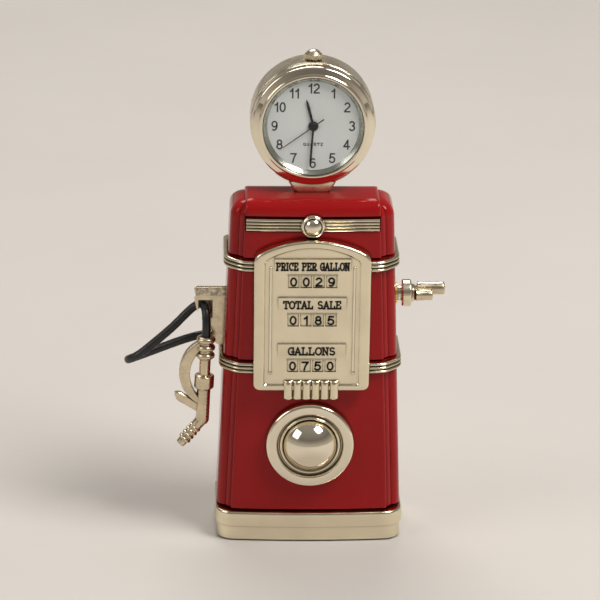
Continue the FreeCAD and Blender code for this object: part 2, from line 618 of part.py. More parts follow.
def make_train():
    """Every turning wheel, from the stepping rotor to the hour wheel."""
    arbor = Part.makeCylinder
    up = math.pi / 2
    stacked("seconds_wheel", (0, 0), (wheel(32, 0.16, 0.15, 0, mesh_turn(32, FIFTH, 0)), 0.2),
            (wheel(8, 0.09, 0.15, 0, mesh_turn(8, THIRD, 0)), 0.55),
            (arbor(0.24, 0.25), 0.32), (arbor(PIVOT, 5.0), -1.2))
    stacked("third_wheel", third_at, (wheel(60, 0.09, 0.15, 0, mesh_turn(60, THIRD + math.pi, 0.5)), 0.55),
            (wheel(8, 0.085, 0.15, 0, mesh_turn(8, THIRD + math.pi, 0)), 0.9),
            (arbor(0.24, 0.25), 0.68), (arbor(PIVOT, 3.2), -1.2))
    stacked("fifth_wheel", fifth_at, (wheel(45, 0.08, 0.15, 0, mesh_turn(45, ROTOR, 0.5)), -0.15),
            (wheel(8, 0.16, 0.15, 0, mesh_turn(8, FIFTH + math.pi, 0.5)), 0.2),
            (arbor(0.3, 0.25), -0.02), (arbor(PIVOT, 3.2), -1.2))
    stacked("rotor", rotor_at, (wheel(6, 0.08, 0.15, 0, mesh_turn(6, ROTOR + math.pi, 0)), -0.15),
            (arbor(0.75, 0.3), -0.62), (arbor(PIVOT, 1.25), -1.2))
    tube = arbor(0.4, 2.79).cut(arbor(0.2, 4, V(0, 0, -0.5)))
    stacked("centre_wheel", (0, 0), (wheel(64, 0.085, 0.15, 0.38, mesh_turn(64, THIRD, 0.5)), 0.9), (tube, 0.9),
            (wheel(12, 0.1, 0.2, 0.38, mesh_turn(12, up, 0)), 2.15))
    stacked("minute_wheel", minute_at, (wheel(36, 0.1, 0.2, 0.17, mesh_turn(36, -up, 0.5)), 2.15),
            (arbor(0.34, 0.12).cut(arbor(0.17, 1)), 2.34),
            (wheel(10, 0.096, 0.2, 0.17, mesh_turn(10, -up, 0)), 2.45))
    pipe = arbor(0.7, 1.02).cut(arbor(0.45, 4, V(0, 0, -0.5)))
    stacked("hour_wheel", (0, 0), (wheel(40, 0.096, 0.2, 0.6, mesh_turn(40, up, 0.5)), 2.45), (pipe, 2.45))
    keep("minute_stud", rod("minute_stud", "0.14", "0.75", ("0", "-2.0", "head_height + motion_distance"), X, 90))


HOUR_TURN, MINUTE_TURN, SECOND_TURN = -345.3, -183.9, -234.0


def hand(label, corners, low, thick, hub, bore, turn):
    """A flat hand drawn pointing to twelve, then turned to the time shown."""
    blade = Part.Face(Part.makePolygon([V(x, y, low) for x, y in corners + corners[:1]]))
    blade = blade.extrude(V(0, 0, thick)).fuse(Part.makeCylinder(hub, thick, V(0, 0, low)))
    if bore:
        blade = blade.cut(Part.makeCylinder(bore, 3, V(0, 0, low - 1)))
    blade.rotate(V(0, 0, 0), Z, turn)
    keep(label, solid(label, blade, HEAD))


def make_hands():
    """Hour, minute and seconds hands, at 11:30:39."""
    hand("hour_hand", [(-0.24, -0.6), (0.24, -0.6), (0.3, 4.4), (0.2, 5.6), (0, 6.2), (-0.2, 5.6), (-0.3, 4.4)],
         3.35, 0.12, 1.1, 0.69, HOUR_TURN)
    hand("minute_hand", [(-0.22, -0.6), (0.22, -0.6), (0.24, 7.6), (0.14, 8.8), (0, 9.2), (-0.14, 8.8),
                         (-0.24, 7.6)], 3.57, 0.12, 0.85, 0.39, MINUTE_TURN)
    hand("second_hand", [(-0.13, -2.8), (0.13, -2.8), (0.09, 8.0), (0, 8.2), (-0.09, 8.0)],
         3.78, 0.08, 0.65, 0.0, SECOND_TURN)


def make_crown():
    """Fluted crown on its stem: pulls out to set the hands, then turns."""
    place = placement((0, -dim("crown_depth"), dim("head_height")))
    knob = turned("crown_blank", [
        ("0", "crown_seat + 0.9"), ("0.95", "crown_seat + 0.9"), ("0.95", "crown_seat"),
        ("crown_radius - 0.2", "crown_seat"), ("crown_radius", "crown_seat + 0.2"),
        ("crown_radius", "crown_seat + 1.1"), ("crown_radius - 0.35", "crown_seat + 1.35"),
        ("crown_radius - 0.9", "crown_seat + 1.9"), ("0", "crown_seat + crown_length")], place)
    doc.recompute()
    knurled = knob.Shape.copy()
    flutes = 24
    for number in range(flutes):
        angle = 2 * math.pi * number / flutes
        at = V(1.98 * math.cos(angle), -dim("crown_depth") + 1.98 * math.sin(angle),
               dim("head_height + crown_seat") - 1)
        knurled = knurled.cut(Part.makeCylinder(0.13, 2.2, at))
    knob.Label = "crown before its flutes are cut"
    keep("crown", solid("crown", knurled))
    keep("stem", rod("stem", "0.35", "9.0", ("0", "-crown_depth", "head_height + crown_seat + 0.9 - 9.0")))


# ------------------------------------------------------------------ the crank
def make_crank():
    """Crank on the right side: shaft in a bushing, collar and offset grip."""
    axis = ("crank_back", "crank_height")
    sleeve = rod("bushing_sleeve", "2.3", "4.1", ("15.2",) + axis, Y, 90)
    bushing = cut("crank_bushing", sleeve, rod("bushing_bore", "shaft_radius + 0.03", "8", ("13",) + axis, Y, 90))
    keep("crank_bushing", bushing)
    keep("crank_shaft", rod("crank_shaft", "shaft_radius", "23.5 - 14.0", ("14.0",) + axis, Y, 90))
    collar = turned("collar_blank", [
        ("shaft_radius", "20.3"), ("2.8", "20.3"), ("3.05", "20.5"), ("3.05", "22.2"), ("2.8", "22.45"),
        ("2.1", "22.5"), ("shaft_radius", "23.4")],
        FreeCAD.Placement(V(0, dim("crank_back"), dim("crank_height")), FreeCAD.Rotation(Y, 90)))
    keep("crank_collar", collar)
    counter = rod("crank_counter", "1.2", "3.65", ("23.5", "crank_back - 1.3", "crank_height"), Y, 90)
    arm = box("crank_arm", ("23.5", "25.6"), ("crank_back - 1.3", "crank_back + 2.8"),
              ("crank_height - 1.1", "crank_height + 1.1"))
    grip = rod("crank_grip", "1.5", "6.2", ("23.9", "crank_back + 2.8", "crank_height + 0.15"), Y, 90)
    keep("crank_handle", fuse("crank_handle", counter, arm, grip))
    keep("crank_clip", cut("crank_clip", rod("clip_disc", "2.6", "0.5", ("14.5",) + axis, Y, 90),
                           rod("clip_bore", "shaft_radius", "3", ("13.5",) + axis, Y, 90)))


# ------------------------------------------------------- holster and nozzle
FERRULE = 1.3


def make_holster():
    """Cast holster on the left side, hollow where the hose passes through."""
    left, top = dim("holster_left"), dim("holster_top")
    depth = dim("holster_back - holster_front")
    corners = [V(-17.5, 0, top), V(left, 0, top), V(left, 0, top - 0.8), V(-24.9, 0, top - 3.0),
               V(-23.9, 0, top - 4.9), V(-21.9, 0, top - 9.1), V(-20.6, 0, top - 11.0), V(-17.5, 0, top - 11.0)]
    holster = Part.Face(Part.makePolygon(corners + corners[:1])).extrude(V(0, depth, 0))
    holster.translate(V(0, dim("holster_front"), 0))
    front, back = dim("holster_front"), dim("holster_back")
    holster = holster.cut(block((left + 0.5, -21.3), (front + 0.6, back - 0.6), (top - 5.4, top - 0.8)))
    holster = holster.cut(block((left + 0.6, -21.6), (front - 1, front + 1), (top - 5.0, top - 0.8)))
    holster = holster.cut(block((left - 1, left + 1.2), (front + 0.8, back - 1.0), (top - 5.2, top - 0.8)))
    holster = holster.cut(Part.makeCylinder(FERRULE, 6, V(-20.2, dim("socket_y"), dim("socket_z")), -X))
    holster = holster.cut(body_outside(0.0, 40, 60))
    keep("holster", solid("holster", max(holster.Solids, key=lambda piece: piece.Volume)))


def make_nozzle():
    """Nozzle hanging by its hose: ringed inlet, barrel, guard, lever, spout."""
    place = placement((dim("nozzle_x"), dim("nozzle_y"), dim("nozzle_z")), Y, dim("nozzle_lean"))
    radius = dim("hose_radius")
    inlet = Part.makeCylinder(1.55, 5.4, V(0, 0, -5.4))
    for number in range(3):
        ring = Part.makeTorus(1.45, 0.65, V(0, 0, -0.75 - 1.85 * number))
        inlet = inlet.fuse(ring)
    inlet = inlet.fuse(Part.makeCylinder(1.2, 4.2, V(0, 0, -9.2)))
    inlet = inlet.fuse(Part.makeCylinder(2.2, 3.1, V(0, 0, -12.2)))
    inlet = inlet.fuse(Part.makeCylinder(1.47, 7.6, V(0, 0, -19.6))).fuse(Part.makeSphere(1.47, V(0, 0, -19.6)))
    inlet = inlet.cut(Part.makeCylinder(radius + 0.06, 3.0, V(0, 0, -2.5)))
    lean = math.radians(37)
    spout_axis = V(-math.sin(lean), 0, -math.cos(lean))
    foot = V(0, 0, -19.6)
    spout = Part.makeCone(1.3, 1.05, 6.8, foot + spout_axis * 1.0, spout_axis)
    for number in range(4):
        ring = Part.makeTorus(1.2 - 0.03 * number, 0.33, foot + spout_axis * (2.6 + 1.15 * number), spout_axis)
        spout = spout.fuse(ring)
    spout = spout.cut(Part.makeCylinder(0.7, 4.0, foot + spout_axis * 4.5, spout_axis))
    spout = spout.cut(inlet)
    outer = arc(V(-1.0, 0, -0.9), V(-5.6, 0, -7.3), V(-1.0, 0, -15.9))
    inner = arc(V(-1.0, 0, -14.2), V(-3.2, 0, -8.2), V(-1.0, 0, -3.4))
    ends = [line(V(-1.0, 0, -15.9), V(-1.0, 0, -14.2)), line(V(-1.0, 0, -3.4), V(-1.0, 0, -0.9))]
    guard = Part.Face(Part.Wire([outer, ends[0], inner, ends[1]])).extrude(V(0, 1.9, 0))
    guard.translate(V(0, -0.95, 0))
    guard = max(guard.cut(inlet).Solids, key=lambda piece: piece.Volume)
    corners = [V(-1.0, 0, -18.0), V(-5.9, 0, -15.3), V(-6.6, 0, -13.5), V(-5.3, 0, -13.3), V(-1.0, 0, -15.95)]
    lever = Part.Face(Part.makePolygon(corners + corners[:1])).extrude(V(0, 1.3, 0))
    lever.translate(V(0, -0.65, 0))
    lever = max(lever.cut(inlet).cut(guard).Solids, key=lambda piece: piece.Volume)
    for label, shape in (("nozzle_body", inlet), ("nozzle_spout", max(spout.Solids, key=lambda s: s.Volume)),
                         ("nozzle_guard", guard), ("nozzle_lever", lever)):
        keep(label, solid(label, shape, place))


# ------------------------------------------------------------------- the hose
HOSE = [
    (-20.4, 2.0, 45.1), (-23.9, 2.3, 44.7), (-28.6, 3.2, 42.9), (-33.7, 3.9, 40.6), (-38.3, 4.3, 38.6),
    (-40.3, 2.5, 38.6), (-40.3, -0.3, 39.6), (-38.3, -2.0, 41.0), (-34.6, -1.3, 43.9), (-30.4, -0.3, 47.3),
    (-27.4, 0.5, 50.3), (-25.5, 0.8, 52.0), (-23.9, -0.1, 52.9), (-23.2, -2.1, 52.5), (-22.95, -3.6, 50.9),
    (-22.95, -4.15, 48.2), (-23.1, -4.1, 44.2),
]


def rounded_path(points):
    """Straight runs joined by tangent arcs, as large as the runs allow."""
    corners = [V(*p) for p in points]
    edges, start, radii = [], corners[0], []
    for before, here, after in zip(corners, corners[1:], corners[2:]):
        first, second = (here - before), (after - here)
        turn = first.getAngle(second)
        reach = 0.45 * min(first.Length, second.Length)
        radius = reach / math.tan(turn / 2)
        radii.append(radius)
        enter = here - first.normalize() * reach
        leave = here + second.normalize() * reach
        centre_way = (leave + enter) * 0.5 - here
        middle = here + centre_way.normalize() * (radius / math.cos(turn / 2) - radius)
        edges.append(Part.LineSegment(start, enter).toShape())
        edges.append(Part.Arc(enter, middle, leave).toShape())
        start = leave
    edges.append(Part.LineSegment(start, corners[-1]).toShape())
    return Part.Wire(edges), radii


def make_hose():
    """Black hose from the holster's foot, out in one loop, back to the nozzle."""
    path, radii = rounded_path(HOSE)
    radius = dim("hose_radius")
    start = V(*HOSE[0])
    way = (V(*HOSE[1]) - start).normalize()
    ring = Part.Wire([Part.Circle(start, way, radius).toShape()])
    hose = path.makePipeShell([ring], True, False)
    print("hose bend radii", [round(r, 1) for r in radii])
    print("hose length", round(path.Length, 2), "volume", round(hose.Volume, 2),
          "section times length", round(math.pi * radius ** 2 * path.Length, 2))
    keep("hose", solid("hose", hose))
    socket = Part.makeCylinder(FERRULE, 2.6, V(-20.25, dim("socket_y"), dim("socket_z")), -X)
    keep("hose_ferrule", solid("hose_ferrule", max(socket.cut(hose).Solids, key=lambda piece: piece.Volume)))


# ------------------------------------------------------------------ assembly
make_base()
shell = make_body()
make_bands()
make_bar(shell)
make_plate()
make_hubcap()
make_neck(shell)
make_case()
make_movement()
make_train()
make_hands()
make_crown()
make_crank()
make_holster()
make_nozzle()
make_hose()
doc.recompute()

failed = [thing.Name for thing in doc.Objects if {"Invalid", "Error"} & set(thing.State)]
for label, thing in nodes.items():
    if thing.Shape.isNull() or not thing.Shape.isValid():
        failed.append(label)
if failed:
    raise SystemExit("not built: " + ", ".join(failed))

os.makedirs("parts", exist_ok=True)
for label, thing in sorted(nodes.items()):
    thing.Shape.exportStep("parts/%s.step" % label)
print(len(nodes), "sub-parts written")
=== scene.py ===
import math

import bmesh
import bpy
import numpy as np
from mathutils import Matrix, Vector


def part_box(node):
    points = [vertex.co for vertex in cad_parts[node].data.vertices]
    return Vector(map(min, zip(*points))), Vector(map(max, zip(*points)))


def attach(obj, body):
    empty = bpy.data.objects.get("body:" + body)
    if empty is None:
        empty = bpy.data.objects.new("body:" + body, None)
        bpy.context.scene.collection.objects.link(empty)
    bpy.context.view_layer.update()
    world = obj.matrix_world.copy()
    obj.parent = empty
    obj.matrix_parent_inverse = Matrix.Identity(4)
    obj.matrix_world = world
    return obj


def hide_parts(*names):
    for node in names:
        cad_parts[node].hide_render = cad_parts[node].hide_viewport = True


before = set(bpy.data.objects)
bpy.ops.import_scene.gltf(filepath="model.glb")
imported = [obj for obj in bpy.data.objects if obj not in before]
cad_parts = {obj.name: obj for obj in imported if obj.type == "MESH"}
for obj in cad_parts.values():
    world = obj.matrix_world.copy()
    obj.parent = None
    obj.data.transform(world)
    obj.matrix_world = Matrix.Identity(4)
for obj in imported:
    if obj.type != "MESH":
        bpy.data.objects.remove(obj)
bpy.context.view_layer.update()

# Lengths are worked out in millimetres and become metres where a mesh is made.
MM = 0.001


def span(node):
    """Lowest and highest corner of a CAD node, in millimetres."""
    low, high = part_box(node)
    return np.array(low) / MM, np.array(high) / MM


# ---- the camera
# A long lens a little to the left of the clock, looking down at twenty degrees.
CAMERA_AT = Vector((-27.44, -670.78, 296.54)) * MM
CAMERA_WAY = Vector((0.0353, 0.9396, -0.3403)).normalized()
CAMERA_ROLL = math.radians(0.807)
LENS = 193.27
SENSOR = 36.0

across = CAMERA_WAY.cross(Vector((0, 0, 1))).normalized()
upward = across.cross(CAMERA_WAY)
right = across * math.cos(CAMERA_ROLL) + upward * math.sin(CAMERA_ROLL)
turned_up = upward * math.cos(CAMERA_ROLL) - across * math.sin(CAMERA_ROLL)


def placed(name, data):
    """A new object of the scene, made from its data."""
    thing = bpy.data.objects.new(name, data)
    bpy.context.scene.collection.objects.link(thing)
    return thing


camera_data = bpy.data.cameras.new("camera")
camera_data.lens = LENS
camera_data.sensor_width = SENSOR
camera_data.clip_start = 0.01
camera_data.clip_end = 20.0
camera = placed("camera", camera_data)
axes = Matrix((right, turned_up, -CAMERA_WAY)).transposed()
camera.matrix_world = Matrix.Translation(CAMERA_AT) @ axes.to_4x4()
bpy.context.scene.camera = camera
bpy.context.scene.view_settings.view_transform = "Standard"


# ---- the hose
# Black moulded hose, pressed into a ferrule in the foot of the holster. It goes
# out in one loop, comes back over the holster and ends in the nozzle.
# How far ambient occlusion looks for hollows, and the span of its values that becomes painted shade in the
# finishes.
SHADE_REACH, SHADE_OPENNESS = 0.6, (0.45, 0.95)
COLOUR_DRIFT, ROUGHNESS_DRIFT = (0.3, 0.7), (0.35, 0.7)
BUMP_DEPTH = 0.05


def put(node, **values):
    """Sets a node's inputs; an underscore stands for a space."""
    for socket, value in values.items():
        node.inputs[socket.replace("_", " ")].default_value = value


def coating(name, colour, roughness, drift, relief=None, metal=0.0, groove=0.0, **sockets):
    """A finish. The drift is the colour's share, the patches' size and the
    roughness it changes by; the relief is the bumps' strength and their grain.
    Painted shade: where ambient occlusion finds a hollow, the colour is darkened by the groove's share."""
    tint, size, smudge = drift
    finish = bpy.data.materials.new(name)
    finish.use_nodes = True
    nodes, links = finish.node_tree.nodes, finish.node_tree.links
    shader = nodes["Principled BSDF"]
    put(shader, Metallic=metal, **sockets)
    place = nodes.new("ShaderNodeTexCoord")

    def noise(patch, detail):
        texture = nodes.new("ShaderNodeTexNoise")
        put(texture, Scale=1.0 / (patch * MM), Detail=detail)
        links.new(place.outputs["Object"], texture.inputs["Vector"])
        return texture.outputs["Fac"]

    ramp = nodes.new("ShaderNodeValToRGB")
    for stop, spot, share in zip(ramp.color_ramp.elements, COLOUR_DRIFT, (1.0 - tint, 1.0 + tint)):
        stop.position, stop.color = spot, [min(1.0, part * share) for part in colour] + [1.0]
    links.new(noise(size, 3.0), ramp.inputs["Fac"])
    shade = ramp.outputs["Color"]
    # Painted shade: the base colour is darkened where ambient occlusion finds the surface shut in, in
    # creases, recesses and gaps between parts.
    if groove:
        shade_occlusion = nodes.new("ShaderNodeAmbientOcclusion")
        shade_occlusion.samples = 6
        put(shade_occlusion, Distance=SHADE_REACH * MM)
        hollow = nodes.new("ShaderNodeMapRange")
        put(hollow, From_Min=SHADE_OPENNESS[0], From_Max=SHADE_OPENNESS[1], To_Min=1.0 - groove, To_Max=1.0)
        links.new(shade_occlusion.outputs["AO"], hollow.inputs["Value"])
        painted_shade = nodes.new("ShaderNodeMix")
        painted_shade.data_type, painted_shade.blend_type = "RGBA", "MULTIPLY"
        put(painted_shade, Factor=1.0)
        links.new(shade, painted_shade.inputs["A"])
        links.new(hollow.outputs["Result"], painted_shade.inputs["B"])
        shade = painted_shade.outputs["Result"]
    links.new(shade, shader.inputs["Base Color"])
    rough = nodes.new("ShaderNodeMapRange")
    put(rough, From_Min=ROUGHNESS_DRIFT[0], From_Max=ROUGHNESS_DRIFT[1],
        To_Min=max(0.02, roughness - smudge), To_Max=roughness + smudge)
    links.new(noise(size * 0.35, 5.0), rough.inputs["Value"])
    links.new(rough.outputs["Result"], shader.inputs["Roughness"])
    if relief:
        bumps = nodes.new("ShaderNodeBump")
        put(bumps, Strength=relief[0], Distance=BUMP_DEPTH * MM)
        links.new(noise(relief[1], 4.0), bumps.inputs["Height"])
        links.new(bumps.outputs["Normal"], shader.inputs["Normal"])
    return finish


HOSE_ROUTE = [
    (-20.4, 2.0, 45.1), (-23.9, 2.3, 44.7), (-28.6, 3.2, 42.9), (-33.7, 3.9, 40.6), (-38.3, 4.3, 38.6),
    (-40.3, 2.5, 38.6), (-40.3, -0.3, 39.6), (-38.3, -2.0, 41.0), (-34.6, -1.3, 43.9), (-30.4, -0.3, 47.3),
    (-27.4, 0.5, 50.3), (-25.5, 0.8, 52.0), (-23.9, -0.1, 52.9), (-23.2, -2.1, 52.5), (-22.95, -3.6, 50.9),
    (-22.95, -4.15, 48.2), (-23.1, -4.1, 44.2),
]
HOSE_WIDTH = 1.9
rubber = coating("hose_rubber", (0.012, 0.012, 0.014), 0.33, (0.25, 3.0, 0.08), (0.25, 0.5))

hose_curve = bpy.data.curves.new("hose", "CURVE")
hose_curve.dimensions = "3D"
hose_line = hose_curve.splines.new("NURBS")
hose_line.points.add(len(HOSE_ROUTE) - 1)
for knot, spot in zip(hose_line.points, HOSE_ROUTE):
    knot.co = (*(Vector(spot) * MM), 1.0)
hose_line.order_u = 3
hose_line.use_endpoint_u = True
hose_curve.resolution_u = 12
hose_curve.bevel_depth = HOSE_WIDTH / 2 * MM
hose_curve.bevel_resolution = 8
hose_curve.use_fill_caps = True
hose_curve.materials.append(rubber)
hose = placed("moulded_hose", hose_curve)
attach(hose, "pump")
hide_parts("hose")


# ---- the plinth
# Cast zinc plinth, nickel plated: plain skirt, a step, and a rounded moulding
# that the body stands on. Two screws in its hollow underside hold the body.
def surface(points, loop=False):
    """Faces over a grid of points (rows, columns, 3) whose columns close on
    themselves. The rows close as well for a loop; else the end rows are capped."""
    rows, columns = points.shape[:2]
    index = np.arange(rows * columns).reshape(rows, columns)
    last = rows if loop else rows - 1
    beside, above = np.roll(index, -1, 1), np.roll(index, -1, 0)
    corner = np.roll(above, -1, 1)
    faces = np.stack([index, beside, corner, above], -1)[:last].reshape(-1, 4).tolist()
    if not loop:
        faces += [index[0, ::-1].tolist(), index[-1].tolist()]
    return points.reshape(-1, 3), faces


def grid_of(x, y, z):
    """A grid of points from arrays of x, y and z, spread over one another."""
    return np.stack(np.broadcast_arrays(x, y, z), -1)


def mesh_of(name, parts):
    """One mesh from parts given as (points in millimetres, faces): doubles are
    merged, and then every face is turned to point outwards."""
    points, faces = np.zeros((0, 3)), []
    for more, links in parts:
        faces += [[corner + len(points) for corner in face] for face in links]
        points = np.vstack([points, more])
    mesh = bpy.data.meshes.new(name)
    mesh.from_pydata((points * MM).tolist(), [], faces)
    work = bmesh.new()
    work.from_mesh(mesh)
    bmesh.ops.remove_doubles(work, verts=work.verts, dist=0.002 * MM)
    bmesh.ops.recalc_face_normals(work, faces=work.faces)
    work.to_mesh(mesh)
    work.free()
    return mesh


def piece(name, shape, finish, node=None, body="pump", crease=32.0):
    """A finished piece from a grid, parts or a mesh: smooth but for the edges
    sharper than the crease. It rides on a body and stands for a CAD node, which
    it hides, or is an extra one."""
    parts = [surface(shape)] if isinstance(shape, np.ndarray) else shape
    mesh = parts if isinstance(parts, bpy.types.Mesh) else mesh_of(name, parts)
    mesh.shade_smooth()
    mesh.set_sharp_from_angle(angle=math.radians(crease))
    mesh.materials.clear()
    mesh.materials.append(finish)
    thing = placed(name, mesh)
    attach(thing, body)
    if node:
        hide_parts(node)
    return thing


def coat(finish, *nodes):
    """Gives CAD nodes whose shape stays as it is their finish."""
    for node in nodes:
        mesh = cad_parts[node].data
        mesh.materials.clear()
        mesh.materials.append(finish)


def soften(corners, reach, steps=7, closed=True):
    """Rounds a line's corners: a point of a rounding is the corner plus (1 - t)^2
    of its reach towards the corner before and t^2 of it towards the next."""
    corners = np.asarray(corners, float)
    reach = np.broadcast_to(np.asarray(reach, float), len(corners)).copy()
    if not closed:
        reach[[0, -1]] = 0.0
    before, after = np.roll(corners, 1, 0) - corners, np.roll(corners, -1, 0) - corners
    far_before, far_after = np.linalg.norm(before, axis=1), np.linalg.norm(after, axis=1)
    back = before * (np.minimum(reach, 0.48 * far_before) / far_before)[:, None]
    ahead = after * (np.minimum(reach, 0.48 * far_after) / far_after)[:, None]
    t = np.linspace(0, 1, steps)[None, :, None]
    line = corners[:, None] + (1 - t) ** 2 * back[:, None] + t ** 2 * ahead[:, None]
    line = line.reshape(-1, corners.shape[1])
    return line if closed else line[steps - 1:len(line) - steps + 1]


def bowed_plan(height, half, front, back, corner, bow=1 / 400, steps=8, stations=25):
    """Rings round a block with a bowed front, one for each height: x runs over
    the half width, the front is front + bow x^2, and the corners are arcs."""
    size = np.broadcast_arrays(*(np.asarray(v, float) for v in (height, half, front, back, corner)))
    height, half, front, back, corner = (v[:, None] for v in size)
    turn = np.linspace(0, math.pi / 2, steps)
    line, one = np.linspace(-1, 1, stations), np.ones(steps)
    side = np.concatenate([line, one, one, -one, -one])
    out = np.concatenate([0 * line, np.sin(turn), np.cos(turn), -np.sin(turn), -np.cos(turn)])
    up = np.concatenate([0 * line, 1 - np.cos(turn), 1 - np.sin(turn), 1 - np.cos(turn), 1 - np.sin(turn)])
    is_front = np.concatenate([line < 9, one > 0, one < 0, one < 0, one > 0])
    flat = side * (half - corner)
    x = flat + out * corner
    y = np.where(is_front, front + bow * flat ** 2 + up * corner, back - up * corner)
    return grid_of(x, y, height)


plinth_low, plinth_high = span("base_plinth")
PLINTH_STEP = 3.6
PLINTH_CORNER = 4.0
MOULDING = 0.45
UNDERSIDE = plinth_low[2]
PLINTH_TOP = plinth_high[2]
plinth_half = plinth_high[0] - MOULDING
plinth_front, plinth_back = plinth_low[1] + MOULDING, plinth_high[1] - MOULDING

# The groove share of these plated finishes paints shade into their hollows.
nickel = coating(
    "warm_nickel", (0.80, 0.715, 0.53), 0.20, (0.06, 9.0, 0.06), (0.14, 1.6), metal=1.0, groove=0.75)
polish = coating(
    "polished_chrome", (0.83, 0.755, 0.60), 0.085, (0.04, 8.0, 0.04), (0.04, 2.5), metal=1.0, groove=0.6)
cast = coating(
    "cast_nickel", (0.66, 0.56, 0.40), 0.27, (0.12, 3.0, 0.08), (0.35, 0.7), metal=1.0, groove=0.8)
felt = coating(
    "green_black_felt", (0.020, 0.024, 0.020), 0.95, (0.45, 0.8, 0.04), (0.9, 0.25), Sheen_Weight=0.4)
steel = coating("plain_steel", (0.56, 0.56, 0.55), 0.30, (0.08, 2.0, 0.08), (0.15, 0.4), metal=1.0)

profile = soften(
    [(-1.6, 1.2), (-1.6, UNDERSIDE), (0, UNDERSIDE), (-0.12, PLINTH_STEP - 0.1),
    (MOULDING - 0.03, PLINTH_STEP + 0.12), (MOULDING, PLINTH_TOP), (-0.6, PLINTH_TOP), (-5.0, PLINTH_TOP)],
    [0.05, 0.15, 0.22, 0.10, 0.12, 1.25, 0.3, 0.0], steps=9, closed=False)
grow, level = profile[:, 0], profile[:, 1]
plinth = bowed_plan(
    level, plinth_half + grow, plinth_front - grow, plinth_back + grow, PLINTH_CORNER + grow)
hollow = bowed_plan(
    [UNDERSIDE + 1.2], [plinth_half - 1.6], [plinth_front + 1.6], [plinth_back - 1.6], [2.4])
plinth = np.concatenate([hollow, plinth])
piece("plinth", plinth, nickel, "base_plinth")
coat(felt, "felt_pad")
coat(steel, "base_screws")


# ---- the red body
# Hollow zinc casting in deep red stoved enamel: a bowed middle panel that rolls
# over at the top, between two reeded corners that end in rounded shoulders.
def united(name, base, *tools, how="UNION"):
    """The exact union of meshes, or the base less the tools."""
    holder = placed(name, base)
    helpers = [holder]
    for tool in tools:
        other = placed(name + "_tool", tool)
        helpers.append(other)
        step = holder.modifiers.new("step", "BOOLEAN")
        step.operation, step.solver, step.object = how, "EXACT", other
    ready = holder.evaluated_get(bpy.context.evaluated_depsgraph_get())
    result = bpy.data.meshes.new_from_object(ready)
    for helper in helpers:
        bpy.data.objects.remove(helper)
    result.name = name
    return result


BODY_FOOT, BODY_TOP = span("body_shell")[0][2], span("body_shell")[1][2]
SIDE_HALF = (20.6, 17.75)
PANEL_HALF = (17.55, 14.6)
FRONT = (-10.1, -9.8)
BACK = (9.0, 7.3)
STRIP_BACK = 1.2
CORNER_SWEEP = 3.6
SHOULDER = 3.6
FRONT_ROLL, BACK_ROLL = 2.85, 7.0
CORE_DROP = 0.8
BAND_HEIGHT = 2.5
band_lows = [span(node)[0][2] for node in ("lower_band", "upper_band")]
SHADOW_GAP = 0.5
GAP_DEPTH = 1.1

# The enamel's groove share paints shade into its hollows and shadow gaps.
enamel = coating(
    "red_enamel", (0.29, 0.0055, 0.0065), 0.13, (0.07, 14.0, 0.05), (0.16, 2.4), groove=0.6,
    Specular_IOR_Level=0.22)


def taper(height, ends):
    """A size of the body at a height, from its value at the foot to the top."""
    share = (height - BODY_FOOT) / (BODY_TOP - BODY_FOOT)
    return ends[0] + share * (ends[1] - ends[0])


def roll(height, top, radius):
    """How far an edge rolled over at that radius has gone in at a height:
    r - sqrt(r^2 - d^2), d being the height above the roll's start."""
    above = np.clip(height - (top - radius), 0, radius)
    return radius - np.sqrt(radius ** 2 - above ** 2)


def body_heights(top):
    """Heights for the body's rings: even up the wall, a pair at each shadow gap,
    and closer and closer over the top."""
    wall = np.linspace(BODY_FOOT, top - BACK_ROLL, 30)
    over = top - BACK_ROLL + BACK_ROLL * np.sin(np.linspace(0, math.pi / 2, 26))
    gaps = [edge for low in band_lows for edge in (low + BAND_HEIGHT, low + BAND_HEIGHT + SHADOW_GAP)]
    gaps.append(BODY_FOOT + SHADOW_GAP)
    pairs = np.array(gaps)[:, None] + np.array([-0.04, 0.04])
    return np.unique(np.concatenate([wall, over, pairs.ravel()]))


def shadow_gap(height):
    """The groove over each band and at the foot: how deep it is at a height."""
    depth = np.zeros_like(height)
    for low in [BODY_FOOT - 1] + [low + BAND_HEIGHT for low in band_lows]:
        high = BODY_FOOT + SHADOW_GAP if low < BODY_FOOT else low + SHADOW_GAP
        depth = np.where((height > low) & (height < high), GAP_DEPTH, depth)
    return depth


z = body_heights(BODY_TOP)
groove = shadow_gap(z)
panel = bowed_plan(
    z, taper(z, PANEL_HALF) - roll(z, BODY_TOP, 0.9) - groove,
    taper(z, FRONT) + roll(z, BODY_TOP, FRONT_ROLL) + groove,
    taper(z, BACK) + 0.5 - roll(z, BODY_TOP, BACK_ROLL) - groove, 0.6)


